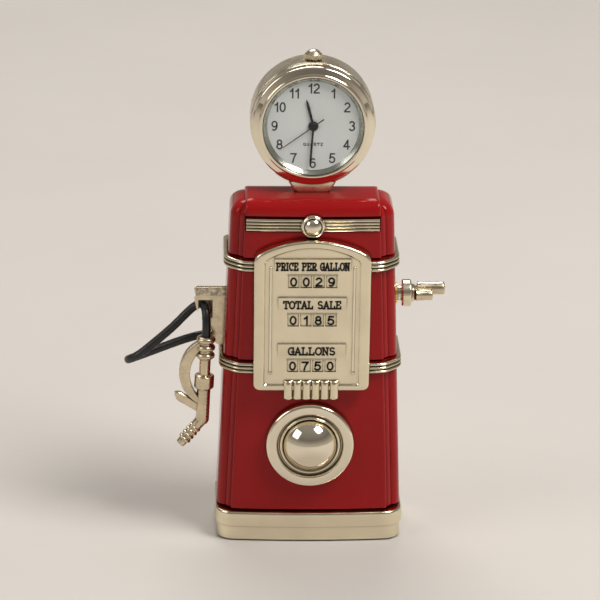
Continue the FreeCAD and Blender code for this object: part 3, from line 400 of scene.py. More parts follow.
def reeded_plan(height):
    """Rings round the body behind the panel. On each corner a half ellipse makes
    the first reed and a quarter ellipse the second; a shoulder draws both in."""
    top = BODY_TOP - CORE_DROP
    inner, outer = taper(height, PANEL_HALF), taper(height, SIDE_HALF)
    front = taper(height, FRONT) + inner ** 2 / 400 + STRIP_BACK + roll(height, top, FRONT_ROLL)
    back = taper(height, BACK) - roll(height, top, BACK_ROLL - CORE_DROP)
    cut = shadow_gap(height)
    split = inner + 0.36 * (outer - inner)
    t = np.linspace(0, 1, 13)[None, :]
    turn = t * math.pi / 2
    column = lambda v: v[:, None]
    first_x = column(inner - 0.4) + t * column(split - inner + 0.4)
    first_y = column(front) + 0.25 * CORNER_SWEEP * t - 0.45 * np.sin(math.pi * t) ** 0.75
    second_x = column(split) + np.sin(turn) * column(outer - split)
    second_y = column(front) + CORNER_SWEEP - 0.77 * CORNER_SWEEP * np.cos(turn)
    back_x = column(outer) - 2.0 * (1 - np.cos(turn))
    back_y = column(back) - 2.0 * (1 - np.sin(turn))
    right_x = np.concatenate([first_x, second_x, back_x], 1) - column(cut)
    right_y = np.concatenate([first_y + column(cut), second_y + column(cut), back_y - column(cut)], 1)
    middle = 12.0
    shoulder = column((outer - roll(height, top, SHOULDER) - middle) / (outer - middle))
    right_x = middle + (right_x - middle) * shoulder
    x = np.concatenate([right_x, -right_x[:, ::-1]], 1)
    y = np.concatenate([right_y, right_y[:, ::-1]], 1)
    return grid_of(x, y, column(height))


bar_low, bar_high = span("top_bar")
slot_z = np.array([bar_low[2] - 0.15, bar_high[2] + 0.55])
slot = bowed_plan(slot_z, bar_high[0] + 0.24, -14.0, taper(slot_z, FRONT) + 2.0, 0.3, bow=0.0)
core_mesh = mesh_of("core", [surface(reeded_plan(body_heights(BODY_TOP - CORE_DROP)))])
body_mesh = united("body", mesh_of("panel", [surface(panel)]), core_mesh)
body_mesh = united("body", body_mesh, mesh_of("slot", [surface(slot)]), how="DIFFERENCE")
piece("enamelled_body", body_mesh, enamel, "body_shell", crease=38.0)


# ---- the bands
# Two strips of plated brass with three ridges rolled along them, bent round the
# sides and the back of the body and let in behind the register plate.
BAND_START = 12.6


def band_ring(low, share):
    """One line of a band: share runs once round its section, up the ridged face,
    which stands out by |sin(3 pi w)|, and down the flat face inside."""
    w = np.clip(share * 2, 0, 1)
    height = low + BAND_HEIGHT * np.where(share < 0.5, w, 2 - share * 2)
    out = np.where(share < 0.5, 0.45 + 0.55 * np.abs(np.sin(3 * math.pi * w)) ** 0.55, -0.35)
    return height, out


def band_line(height, out):
    """The body's outline in plan at a height, moved out, with eased corners."""
    inner, outer = taper(height, PANEL_HALF) + out, taper(height, SIDE_HALF) + out
    start = taper(height, FRONT) + BAND_START ** 2 / 400 - out
    edge = taper(height, FRONT) + inner ** 2 / 400 - out
    back = taper(height, BACK) + out
    right = [
        (BAND_START, start), (inner - 0.7, edge), (outer - 0.9, edge + STRIP_BACK + 0.45 * CORNER_SWEEP),
        (outer, edge + STRIP_BACK + CORNER_SWEEP), (outer, back), (inner, back), (inner - 0.6, back + 0.5)]
    left = [(-x, y) for x, y in right[::-1]]
    ease = [0, 1.3, 1.2, 1.4, 1.8, 0.4, 0.4]
    line = soften(right + left, ease + ease[::-1], steps=9, closed=False)
    return grid_of(line[:, 0], line[:, 1], height)


shares = np.concatenate([np.linspace(0, 0.4999, 37), [0.56, 0.94]])
for node in ("lower_band", "upper_band"):
    ring = [band_ring(span(node)[0][2], share) for share in shares]
    grid = np.stack([band_line(height, out) for height, out in ring], 1)
    piece("ridged_" + node, grid, nickel, node, crease=50.0)


# ---- the top bar and medallion
# A bar with four rolled ridges lies in a recess of the panel, held by a plated
# medallion whose peg goes through both.
bar_middle = (bar_low + bar_high) / 2
w = np.linspace(0, 1, 49)
face_z = bar_low[2] + w * (bar_high[2] - bar_low[2])
face_out = 0.10 + 0.34 * np.abs(np.sin(4 * math.pi * w)) ** 0.6
bar_z = np.concatenate([face_z, [bar_high[2] - 0.1, bar_low[2] + 0.1]])
bar_out = np.concatenate([face_out, [-1.6, -1.6]])
stations = bar_middle[0] + np.linspace(-1, 1, 41) * (bar_high[0] - bar_low[0]) / 2
bar_y = taper(bar_z, FRONT)[None, :] + (stations ** 2)[:, None] / 400 - bar_out[None, :]
piece("ridged_bar", grid_of(stations[:, None], bar_y, bar_z), nickel, "top_bar", crease=50.0)


def turned(line, centre, axis="y", columns=96):
    """A line of (radius, distance) points carried round an axis: forward out of
    the face for y, up for z, to the right for x."""
    line = np.asarray(line, float)
    angle = np.arange(columns) * 2 * math.pi / columns
    one, two = line[:, :1] * np.cos(angle), line[:, :1] * np.sin(angle)
    along = line[:, 1:]
    order = {"y": (one, -along, two), "z": (one, two, along), "x": (along, one, two)}[axis]
    return grid_of(*order) + np.asarray(centre, float)


def lathe(line, centre, axis="y", columns=96, loop=False):
    """The part that a line turned round an axis makes."""
    return [surface(turned(line, centre, axis, columns), loop)]


def from_corner(radius, front, *steps):
    """Points of a profile, given as far out and forward of a corner of it."""
    return [(radius + out, front + ahead) for out, ahead in steps]


def arc_line(radius, rise, first, last, steps=24):
    """Points (radius cos a, rise + radius sin a) from one angle to another."""
    a = np.radians(np.linspace(first, last, steps))
    return np.column_stack([radius * np.cos(a), rise + radius * np.sin(a)])


medal_low, medal_high = span("top_medallion")
MEDAL_RADIUS = (medal_high[0] - medal_low[0]) / 2
medal_at = (0, medal_high[1], (medal_low[2] + medal_high[2]) / 2)
medal_front = medal_high[1] - medal_low[1]
rim = soften(
    [(0, 0.4), (MEDAL_RADIUS - 0.3, 0.4), (MEDAL_RADIUS, 0.8), (MEDAL_RADIUS, medal_front - 1.35),
    (MEDAL_RADIUS - 0.42, medal_front - 0.95), (1.95, medal_front - 1.05), (1.8, medal_front - 1.5)],
    [0, 0.1, 0.2, 0.28, 0.25, 0.12, 0.1], closed=False)
dome = arc_line(2.25, medal_front - 2.25, 37, 90)
piece("medallion", lathe(np.vstack([rim, dome]), medal_at), polish, "top_medallion")


# ---- the register plate
# Die-cast plate, plated and polished on its rim: a flat border round a recessed
# panel with two beads, sloping labels, sunk counters, and a fluted tab below.
plate_low, plate_high = span("register_plate")
PLATE_FRONT = -12.65
PLATE_HALF = plate_high[0]
PLATE_FOOT, PLATE_SHOULDER, PLATE_APEX = 36.85, 68.0, plate_high[2]
FLOOR = PLATE_FRONT + 0.45
TAB_HALF, TAB_FOOT, TAB_BACK = 6.0, plate_low[2], -9.6
TAB_TOP, TAB_ROLL, TAB_RELIEF = 38.2, 1.1, 0.75


def plate_ring(inset, depth):
    """The arched outline, moved in by an inset and lying at a depth: its head is
    an arc through both shoulders and the apex."""
    half, foot = PLATE_HALF - inset, PLATE_FOOT + 0.6 * inset
    shoulder, apex = PLATE_SHOULDER - 0.45 * inset, PLATE_APEX - 0.68 * inset
    rise = apex - shoulder
    radius = (half ** 2 + rise ** 2) / (2 * rise)
    x = np.linspace(half * 0.8, -half * 0.8, 31)
    head = np.column_stack([x, apex - radius + np.sqrt(radius ** 2 - x ** 2)])
    corners = np.vstack([[(-half, foot), (half, foot), (half, shoulder)], head, [(-half, shoulder)]])
    ease = np.concatenate([
        [1.7 - 0.4 * inset] * 2, [1.9 - 0.45 * inset], np.zeros(31), [1.9 - 0.45 * inset]])
    line = soften(corners, np.maximum(ease, 0.0))
    return grid_of(line[:, 0], depth, line[:, 1])


section = soften(
    [(0.3, -9.2), (0, -9.8), (0, PLATE_FRONT), (2.05, PLATE_FRONT), (2.2, PLATE_FRONT + 0.1),
    (2.55, FLOOR), (3.2, FLOOR)], [0, 0.3, 0.85, 0.1, 0.1, 0.12, 0], steps=9, closed=False)
plate_mesh = mesh_of("plate", [surface(np.stack([plate_ring(inset, depth) for inset, depth in section]))])

# The labels' middle heights and half widths, and the counters' heights.
LABELS = ((66.05, 8.3), (57.2, 7.4), (46.45, 7.4))
LABEL_RISE, LABEL_PROUD, LABEL_LIP = 1.55, 0.42, 0.16
COUNTERS = (62.2, 53.3, 42.65)
CELL_PITCH, CELL_HALF, CELL_DEPTH = 2.75, (1.27, 1.45), 0.32
SILL_HALF, SILL_RISE, SILL_PROUD = 5.45, (1.42, 1.72), 0.2


def pocket(x, height, half, rise, depth):
    """A shallow pocket with drafted sides, cut into the panel's floor."""
    square = np.array([(-1, -1), (1, -1), (1, 1), (-1, 1)])
    rings = []
    for grown, y in ((0.12, FLOOR - 0.12), (0, FLOOR), (-0.14, FLOOR + depth)):
        line = square * (half + grown, rise + grown) + (x, height)
        rings.append(grid_of(line[:, 0], y, line[:, 1]))
    return surface(np.stack(rings))


def wedge(half, low, high, proud):
    """A label standing out of the panel: flush at its foot, proud at its head."""
    side = soften(
        [(FLOOR + 0.3, low), (FLOOR, low), (FLOOR - proud, high - LABEL_LIP), (FLOOR + 0.05, high + 0.1),
        (FLOOR + 0.3, high + 0.1)], [0, 0.02, 0.08, 0.03, 0], steps=4)
    return surface(grid_of(np.array([[-half], [half]]), side[:, 0], side[:, 1]))


cells = [(CELL_PITCH * (number - 1.5), height) for height in COUNTERS for number in range(4)]
pockets = [pocket(x, height, *CELL_HALF, CELL_DEPTH) for x, height in cells]
plate_mesh = united("plate", plate_mesh, mesh_of("pockets", pockets), how="DIFFERENCE")
wedges = [wedge(half, height - LABEL_RISE, height + LABEL_RISE, LABEL_PROUD) for height, half in LABELS]
wedges += [wedge(SILL_HALF, *np.add(height, SILL_RISE), SILL_PROUD) for height in COUNTERS]
plate_mesh = united("plate", plate_mesh, mesh_of("wedges", wedges))
piece("arched_plate", plate_mesh, nickel, "register_plate", crease=30.0)

BEAD_X, BEAD_FOOT, BEAD_LENGTH = 9.1, 41.1, 24.6
bead_line = np.vstack([
    arc_line(0.42, 0.0, -90, 40, 14), [(0.3, 0.5), (0.28, 0.9), (0.28, BEAD_LENGTH - 0.3)],
    arc_line(0.28, BEAD_LENGTH - 0.3, 10, 90, 8)])
beads = [lathe(bead_line, (side * BEAD_X, FLOOR, BEAD_FOOT), "z", 32)[0] for side in (-1, 1)]
piece("plate_beads", beads, polish)

x = np.linspace(-TAB_HALF, TAB_HALF, 121)
levels = np.concatenate([
    [TAB_FOOT, TAB_FOOT + 0.12, TAB_FOOT + 0.35], np.linspace(36, TAB_TOP, 8),
    TAB_TOP + TAB_ROLL * np.sin(np.linspace(0.1, math.pi / 2, 12))])
swell = np.sqrt(np.clip(1 - (np.clip(levels - TAB_TOP, 0, TAB_ROLL) / TAB_ROLL) ** 2, 0, 1))
swell[:3] = (0.72, 0.9, 1.0)
flute = TAB_RELIEF * np.abs(np.sin(math.pi * x / 2)) ** 0.8
tab_y = PLATE_FRONT + 0.2 - np.outer(swell, flute)
tab_y[:3] += np.array([0.25, 0.06, 0.0])[:, None]
tab_back = np.full((len(levels), 2), TAB_BACK)
tab_depth = np.concatenate([tab_y, tab_back], 1)
tab = grid_of(np.concatenate([x, [TAB_HALF, -TAB_HALF]]), tab_depth, levels[:, None])
piece("fluted_tab", tab, nickel, crease=50.0)


# ---- the words and figures on the plate
# Words in low relief on the sloping labels and figures in the counters, all of
# black paint, drawn stroke by stroke. Plain generic words and counts.
paint = coating(
    "black_fill", (0.008, 0.007, 0.006), 0.6, (0.2, 1.5, 0.06), (0.2, 0.3), Specular_IOR_Level=0.15)


def curve_of(x, y, wide, tall, first, last):
    """Part of an ellipse: x + wide cos a, y + tall sin a, from first to last."""
    a = np.radians(np.linspace(first, last, 4 + int(abs(last - first) / 14)))
    return np.column_stack([x + wide * np.cos(a), y + tall * np.sin(a)])


def stem(x):
    """An upright stroke."""
    return [(x, 0), (x, 1)]


CIRCLE = curve_of(0.5, 0.5, 0.46, 0.5, 0, 360)
OPEN_ROUND = [curve_of(0.52, 0.5, 0.44, 0.5, 48, 312), [(0.86, 0.64), (0.86, 1)]]
# Each character's pen strokes, in a box one wide and one high.
STROKES = {
    "0": [CIRCLE],
    "1": [[(0.12, 0.74), (0.42, 0.84), (0.56, 1)], stem(0.56)],
    "2": [np.vstack([curve_of(0.5, 0.71, 0.44, 0.29, 170, -30), [(0.1, 0.12), (0.04, 0)]]),
          [(0.04, 0), (0.98, 0)]],
    "3": [curve_of(0.46, 0.755, 0.42, 0.245, 165, -90), curve_of(0.46, 0.27, 0.48, 0.27, 90, -165)],
    "4": [stem(0.72), [(0.68, 0.97), (0, 0.27)], [(0, 0.27), (1, 0.27)]],
    "5": [[(0.9, 1), (0.2, 1)], [(0.2, 1), (0.08, 0.48)], curve_of(0.47, 0.32, 0.49, 0.32, 142, -165)],
    "6": [curve_of(0.5, 0.31, 0.46, 0.31, 0, 360), curve_of(0.56, 0.44, 0.52, 0.56, 52, 195)],
    "7": [[(0.02, 1), (0.98, 1)], [(0.96, 1), (0.56, 0.5), (0.36, 0)]],
    "8": [curve_of(0.5, 0.755, 0.38, 0.245, 0, 360), curve_of(0.5, 0.27, 0.47, 0.27, 0, 360)],
    "A": [[(0.06, 0), (0.48, 1)], [(0.48, 1), (0.92, 0)], [(0.22, 0.33), (0.76, 0.33)]],
    "C": OPEN_ROUND,
    "E": [stem(0.2), [(0.2, 1), (0.84, 1)], [(0.84, 1), (0.84, 0.78)], [(0.2, 0.52), (0.62, 0.52)],
          [(0.2, 0), (0.88, 0)], [(0.88, 0), (0.88, 0.24)]],
    "G": OPEN_ROUND + [[(0.86, 0), (0.86, 0.42)], [(0.6, 0.42), (1, 0.42)]],
    "I": [stem(0.5)],
    "L": [stem(0.22), [(0.22, 0), (0.88, 0)], [(0.88, 0), (0.88, 0.28)]],
    "N": [stem(0.16), [(0.16, 1), (0.84, 0)], stem(0.84)],
    "O": [CIRCLE],
    "P": [stem(0.2), np.vstack([[(0.2, 1)], curve_of(0.55, 0.74, 0.32, 0.26, 90, -90), [(0.2, 0.48)]])],
    "Q": [CIRCLE, [(0.58, 0.24), (0.96, -0.04)]],
    "S": [np.vstack([curve_of(0.5, 0.75, 0.34, 0.25, 20, 250), curve_of(0.5, 0.26, 0.38, 0.26, 72, -160)])],
    "T": [[(0.06, 1), (0.94, 1)], [(0.06, 1), (0.06, 0.76)], [(0.94, 1), (0.94, 0.76)], stem(0.5)],
    "U": [np.vstack([[(0.12, 1)], curve_of(0.5, 0.36, 0.38, 0.36, 180, 360), [(0.88, 1)]])],
    "Z": [[(0.08, 1), (0.9, 1)], [(0.9, 1), (0.08, 0)], [(0.08, 0), (0.92, 0)]],
}
STROKES["9"] = [1 - np.asarray(stroke) for stroke in STROKES["6"]]
STROKES["R"] = STROKES["P"] + [[(0.5, 0.48), (0.92, 0)]]
# Where a letter's stems end in a serif.
FEET = {
    "A": (0.06, 0.92), "E": (0.12,), "I": (0.5,), "L": (0.22,), "N": (0.16,), "P": (0.2,), "R": (0.2, 0.9),
    "T": (0.5,)}
HEADS = {"I": (0.5,), "L": (0.22,), "N": (0.1, 0.84), "P": (0.14,), "R": (0.14,), "E": (0.14,)}
SERIF = 0.17
# A straight stroke runs on past its ends by this share of the pen.
PEN_OVERRUN = 0.45
# Narrow characters: the share of a box they take, and where their middle is.
ADVANCE = {" ": (0.55, 0.5), "I": (0.5, 0.5), "1": (0.68, 0.34)}


def written(text, height, box, gap, pen, centre, depth, thick, serifs=False):
    """Characters drawn with a flat pen: each stroke is a strip half the pen to
    each side of its line, as thick as the paint. The boxes stand a gap apart."""
    spans = [ADVANCE.get(sign, (1.0, 0.5)) for sign in text]
    widths = [box * wide for wide, _ in spans]
    left = centre[0] - (sum(widths) + gap * (len(text) - 1)) / 2
    parts = []
    for sign, width, (wide, middle) in zip(text, widths, spans):
        strokes = list(STROKES.get(sign, []))
        if serifs:
            strokes += [[(x - SERIF, y), (x + SERIF, y)] for ends, y in ((FEET, 0), (HEADS, 1.0))
                        for x in ends.get(sign, ())]
        shift = left + (wide / 2 - middle) * box
        for stroke in strokes:
            line = np.asarray(stroke, float) * (box, height) + (shift, centre[1] - height / 2)
            way = np.gradient(line, axis=0)
            way /= np.linalg.norm(way, axis=1, keepdims=True)
            if len(line) < 4:
                line[0] -= way[0] * pen * PEN_OVERRUN
                line[-1] += way[-1] * pen * PEN_OVERRUN
            off = np.column_stack([-way[:, 1], way[:, 0]]) * pen / 2
            front = depth - thick
            corners = ((line + off, depth), (line - off, depth), (line - off, front), (line + off, front))
            parts.append(surface(np.stack([grid_of(at[:, 0], y, at[:, 1]) for at, y in corners], 1)))
        left += width + gap
    return parts


WORDS = (("PRICE PER GALLON", 0.91), ("TOTAL SALE", 1.16), ("GALLONS", 1.33))
COUNTS = ("0029", "0185", "0750")
WORD_HEIGHT, WORD_GAP, WORD_PEN, WORD_LOWER, WORD_RELIEF = 1.72, 0.17, 0.30, 0.33, 0.2
LABEL_SLOPE = LABEL_PROUD / (2 * LABEL_RISE - LABEL_LIP)
COUNT_HEIGHT, COUNT_BOX, COUNT_PEN, COUNT_LOWER, COUNT_RELIEF = 1.75, 1.26, 0.34, 0.16, 0.12
words = []
for (text, box), (height, _) in zip(WORDS, LABELS):
    for points, faces in written(text, WORD_HEIGHT, box, WORD_GAP, WORD_PEN, (0, height - WORD_LOWER),
                                 FLOOR + 0.1, WORD_RELIEF, serifs=True):
        words.append((points - np.outer(points[:, 2] - height + LABEL_RISE, (0, LABEL_SLOPE, 0)), faces))
piece("register_words", words, paint, crease=30.0)
figures = []
for figure, (x, height) in zip("".join(COUNTS), cells):
    figures += written(
        figure, COUNT_HEIGHT, COUNT_BOX, 0.0, COUNT_PEN, (x, height - COUNT_LOWER),
        FLOOR + CELL_DEPTH + 0.01, COUNT_RELIEF)
piece("register_figures", figures, paint, crease=30.0)


# ---- the hubcap
# Turned and polished ring, dished inside, round a low domed cap pressed in from
# behind. Both are chrome plated.
hub_low, hub_high = span("hubcap_ring")
HUB_RADIUS = (hub_high[0] - hub_low[0]) / 2
hub_at = (0, 0.0, (hub_low[2] + hub_high[2]) / 2)
hub_front = -hub_low[1]
DOME_RADIUS, DOME_CURVE, DOME_SINK = 5.85, 6.6, 3.35
HUB_SEAT, DOME_SEAT = 8.7, 8.8
ring_line = [(DOME_RADIUS - 0.4, HUB_SEAT), (HUB_RADIUS - 0.3, HUB_SEAT)]
ring_line += from_corner(
    HUB_RADIUS, hub_front, (0, -1.1), (-0.12, -0.35), (-0.55, 0), (-2.25, 0), (-2.5, -0.3), (-2.65, -1.25),
    (-2.95, -1.3), (-3.1, -0.55), (-3.4, -0.28), (-3.75, -0.5))
ring_line += from_corner(DOME_RADIUS, hub_front, (-0.1, -1.1), (-0.4, -1.1))
ring_line = soften(
    ring_line, [0.1, 0.1, 0.25, 0.2, 0.35, 0.25, 0.2, 0.12, 0.12, 0.15, 0.25, 0.15, 0.05, 0.05], 6)
piece("hubcap_rim", lathe(ring_line, hub_at, columns=128, loop=True), polish, "hubcap_ring", crease=60.0)
dome_edge = math.degrees(math.acos(DOME_RADIUS / DOME_CURVE))
dome_line = np.vstack([
    [(0, DOME_SEAT), (DOME_RADIUS - 0.05, DOME_SEAT)], arc_line(DOME_CURVE, hub_front - DOME_SINK,
    dome_edge, 90, 40)])
piece("hubcap_ball", lathe(dome_line, hub_at, columns=128), polish, "hubcap_dome", crease=60.0)


# ---- the neck and cradle
# A flared plated neck is screwed to the roof of the body from inside. On it, a
# plated crescent holds the underside of the clock's case.
head_low, head_high = span("clock_case")
HEAD_UP = (head_low[2] + head_high[2]) / 2
CASE_RADIUS = (head_high[0] - head_low[0]) / 2
NECK_FRONT, NECK_BACK = -2.6, 2.35
flare = soften(
    [(3.5, BODY_TOP - 0.6), (3.55, BODY_TOP), (4.3, BODY_TOP + 0.7), (5.2, HEAD_UP - 12.9)],
    [0, 0.1, 0.35, 0], closed=False)
neck = bowed_plan(flare[:, 1], flare[:, 0], NECK_FRONT + 0 * flare[:, 0], NECK_BACK, 0.45, bow=0.0)
piece("flared_neck", neck, nickel, "head_neck")
coat(steel, "neck_screw")

CRADLE_RADIUS, CRADLE_DROP, CRADLE_SWEEP = 12.1, 2.0, 36.5
CRADLE_FRONT, CRADLE_BACK = -2.35, 4.0
swing = np.radians(np.linspace(-CRADLE_SWEEP, CRADLE_SWEEP, 81))
reach = CRADLE_DROP * np.cos(swing) + np.sqrt(CRADLE_RADIUS ** 2 - (CRADLE_DROP * np.sin(swing)) ** 2)
inside = CASE_RADIUS + 0.02
corner = soften([(0, 0), (1, 0), (1, 1), (0, 1)], 0.16, steps=5)
radius = inside + (reach - inside)[:, None] * corner[None, :, 0]
depth = CRADLE_FRONT + (CRADLE_BACK - CRADLE_FRONT) * corner[:, 1]
cradle = grid_of(np.sin(swing)[:, None] * radius, depth, HEAD_UP - np.cos(swing)[:, None] * radius)
piece("head_saddle", cradle, nickel, "head_cradle", crease=45.0)


# ---- the clock's case
# Drum of spun brass in satin plating, closed by a snapped-in back cover and by
# the polished bezel, which holds the glass and the bright ring round the dial.
head_at = (0, 0.0, HEAD_UP)
drum_front, drum_back = -head_low[1], -head_high[1]
satin = coating("satin_case", (0.66, 0.585, 0.445), 0.27, (0.05, 7.0, 0.05), (0.12, 0.8), metal=1.0)
drum_line = soften(
    [(CASE_RADIUS - 1.2, drum_back), (CASE_RADIUS, drum_back), (CASE_RADIUS, drum_front),
    (CASE_RADIUS - 1.2, drum_front)], [0.1, 0.35, 0.12, 0.05])
piece("case_drum", lathe(drum_line, head_at, columns=160, loop=True), satin, "clock_case", crease=60.0)
cover_back = -span("case_back")[1][1]
cover_line = from_corner(
    0, cover_back, (0, 0.12), (5.2, 0.12), (5.4, 0), (9.6, 0), (9.8, 0.15), (10.4, 0.15), (10.6, 0),
    (CASE_RADIUS - 1.0, 0))
cover_line += from_corner(
    CASE_RADIUS, drum_back, (-0.7, 0.05), (-1.25, 0.1), (-1.25, 0.9), (-2.4, 0.9),
    (-2.4, 0.3)) + [(0, drum_back + 0.3)]
cover_line = soften(cover_line, 0.12, steps=5, closed=False)
piece("back_cover", lathe(cover_line, head_at, columns=128), steel, "case_back", crease=45.0)

bezel_low, bezel_high = span("bezel")
BEZEL_RADIUS = (bezel_high[0] - bezel_low[0]) / 2
bezel_front = -bezel_low[1]
GLASS_RADIUS = 10.9
LIP = 11.6
bezel_line = [
    (GLASS_RADIUS + 0.05, -0.8), (CASE_RADIUS - 1.25, -0.8), (CASE_RADIUS - 1.25, drum_front + 0.02)]
bezel_line += from_corner(
    BEZEL_RADIUS, drum_front, (0, 0.02), (0, 0.25), (-0.12, 0.36), (-0.16, 2.35), (-0.4, 2.72))
bezel_line += from_corner(LIP, bezel_front, (0.24, -0.34), (0.1, -0.14), (-0.25, 0))
bezel_line += from_corner(GLASS_RADIUS, bezel_front, (0.12, -0.08), (0.05, -0.35))
bezel_line = soften(bezel_line, [0.05, 0.05, 0.05, 0.08, 0.08, 0.08, 0.2, 0.25, 0.1, 0.1, 0.2, 0.15, 0.1])
piece("rolled_bezel", lathe(bezel_line, head_at, columns=192, loop=True), polish, "bezel", crease=60.0)

glass = coating(
    "mineral_glass", (0.06, 0.065, 0.065), 0.03, (0.05, 9.0, 0.01), Alpha=0.08, Specular_IOR_Level=1.0,
    Coat_Weight=1.0, Coat_Roughness=0.02)
glass_low, glass_high = span("crystal")
glass_back, glass_front = -glass_high[1], -glass_low[1]
glass_line = soften(
    [(0, glass_back), (GLASS_RADIUS, glass_back), (GLASS_RADIUS, glass_back + 0.22),
    (GLASS_RADIUS - 0.3, glass_front), (0, glass_front)], [0, 0.05, 0.1, 0.1, 0], closed=False)
piece("glass", lathe(glass_line, head_at, columns=128), glass, "crystal", crease=60.0)

dial_plane = -span("rehaut_ring")[1][1]
WINDOW_RADIUS, REFLECTOR_MOUTH = 9.95, 10.76
reflector_line = soften(
    [(WINDOW_RADIUS, dial_plane), (GLASS_RADIUS, dial_plane), (GLASS_RADIUS, glass_back),
    (REFLECTOR_MOUTH, glass_back)], [0.05, 0.05, 0.05, 0.08])
shade_ring = coating("reflector_plate", (0.52, 0.54, 0.48), 0.24, (0.08, 3.0, 0.04), metal=1.0)
piece("reflector_ring", lathe(reflector_line, head_at, columns=160, loop=True), shade_ring, "rehaut_ring",
      crease=60.0)


# ---- the dial
# White enamelled card with printed black hour figures and the word for its
# movement. Behind it are the movement's fixed parts.
card = coating("dial_white", (0.84, 0.90, 0.90), 0.42, (0.015, 6.0, 0.05), (0.12, 0.35))
print_black = coating("dial_print", (0.045, 0.047, 0.055), 0.5, (0.15, 1.0, 0.05), (0.1, 0.2))
dial_line = soften(
    [(0.8, dial_plane - 0.3), (GLASS_RADIUS, dial_plane - 0.3), (GLASS_RADIUS, dial_plane),
    (0.8, dial_plane)], [0.02, 0.04, 0.04, 0.06])
piece("dial_card", lathe(dial_line, head_at, columns=128, loop=True), card, "dial")

HOUR_RING, HOUR_HEIGHT, HOUR_BOX, HOUR_GAP, HOUR_PEN = 8.41, 1.95, 1.14, 0.42, 0.33
PRINT_THICK = 0.02
print_depth = -dial_plane - 0.004
hours = []
for hour in range(1, 13):
    angle = math.radians(30 * hour)
    spot = (HOUR_RING * math.sin(angle), HEAD_UP + HOUR_RING * math.cos(angle))
    hours += written(str(hour), HOUR_HEIGHT, HOUR_BOX, HOUR_GAP, HOUR_PEN, spot, print_depth, PRINT_THICK)
piece("hour_figures", hours, print_black, crease=30.0)
WORD_DROP = 4.15
word = written(
    "QUARTZ", height=0.60, box=0.52, gap=0.23, pen=0.14, centre=(0, HEAD_UP - WORD_DROP),
    depth=print_depth, thick=PRINT_THICK)
piece("movement_word", word, print_black, crease=30.0)

brass = coating("turned_brass", (0.70, 0.50, 0.20), 0.28, (0.08, 1.5, 0.08), (0.1, 0.3), metal=1.0)
white_plastic = coating("white_plastic", (0.72, 0.71, 0.67), 0.42, (0.04, 2.0, 0.05), (0.15, 0.4))
black_plastic = coating("black_plastic", (0.02, 0.02, 0.022), 0.4, (0.2, 2.0, 0.06), (0.15, 0.4))
copper = coating("copper_wire", (0.62, 0.26, 0.12), 0.3, (0.15, 0.3, 0.06), (0.6, 0.12), metal=1.0)
board = coating("circuit_board", (0.03, 0.16, 0.06), 0.4, (0.2, 0.8, 0.08), (0.3, 0.3))
CLOCKWORK = (
    (steel, "main_plate train_bridge bridge_posts battery battery_clip stator minute_stud stem"),
    (brass, "crown_tube hour_wheel centre_wheel seconds_wheel third_wheel"),
    (white_plastic, "movement_holder minute_wheel fifth_wheel"),
    (black_plastic, "rotor"), (copper, "coil"), (board, "circuit_board"),
)
for finish, names in CLOCKWORK:
    coat(finish, *names.split())


# ---- the hands
# Stamped baton hands in black paint, pressed on the pipes of the motion work.
black = coating(
    "hand_black", (0.012, 0.012, 0.013), 0.45, (0.15, 1.2, 0.05), (0.1, 0.25), Specular_IOR_Level=0.3)


def stamping(outline, low, high, ease):
    """A stamped plate: its outline lies at two depths and is drawn in by the
    ease at each face, along the mean of the edges that meet at a corner."""
    outline = np.asarray(outline, float)
    edge = np.roll(outline, -1, 0) - outline
    out = np.column_stack([edge[:, 1], -edge[:, 0]]) / (np.linalg.norm(edge, axis=1, keepdims=True) + 1e-9)
    out = out + np.roll(out, 1, 0)
    out /= np.linalg.norm(out, axis=1, keepdims=True) + 1e-9
    rings = [np.column_stack([outline - out * draw, np.full(len(outline), level)])
             for draw, level in ((ease, low), (0, low + ease), (0, high - ease), (ease, high))]
    return np.stack(rings)


def hand(name, node, body, side, tip, hub, turn):
    """A hand drawn pointing to twelve, its blade (a right side, its mirror and a
    tip) and hub stamped from one plate, then turned to the time shown."""
    low, high = span(node)
    near, far = -high[1], -low[1]
    angle = np.arange(48) * 2 * math.pi / 48
    disc = hub * np.column_stack([np.cos(angle), np.sin(angle)])
    c, s = math.cos(math.radians(turn)), math.sin(math.radians(turn))
    meshes = []
    for outline in ([*side, (0, tip), *((-x, y) for x, y in side[::-1])], disc):
        rings = stamping(outline, near, far, 0.03)
        x = rings[..., 0] * c - rings[..., 1] * s
        up = rings[..., 0] * s + rings[..., 1] * c
        meshes.append(mesh_of(name, [surface(grid_of(x, -rings[..., 2], HEAD_UP + up))]))
    piece(name, united(name, *meshes), black, node, body, crease=30.0)


# The time shown is 11:30:39, read from these turns.
HOUR_TURN, MINUTE_TURN, SECONDS_TURN = -345.3, -183.9, -234.0
hand("hour_baton", "hour_hand", "hours", [(0.24, -0.6), (0.3, 4.4), (0.2, 5.6)], 6.2, 1.1, HOUR_TURN)
hand(
    "minute_baton", "minute_hand", "minutes", [(0.22, -0.6), (0.24, 7.6), (0.14, 8.8)], 9.2, 0.85,
    MINUTE_TURN)
hand("seconds_needle", "second_hand", "seconds", [(0.13, -2.8), (0.09, 8.0)], 8.2, 0.65, SECONDS_TURN)


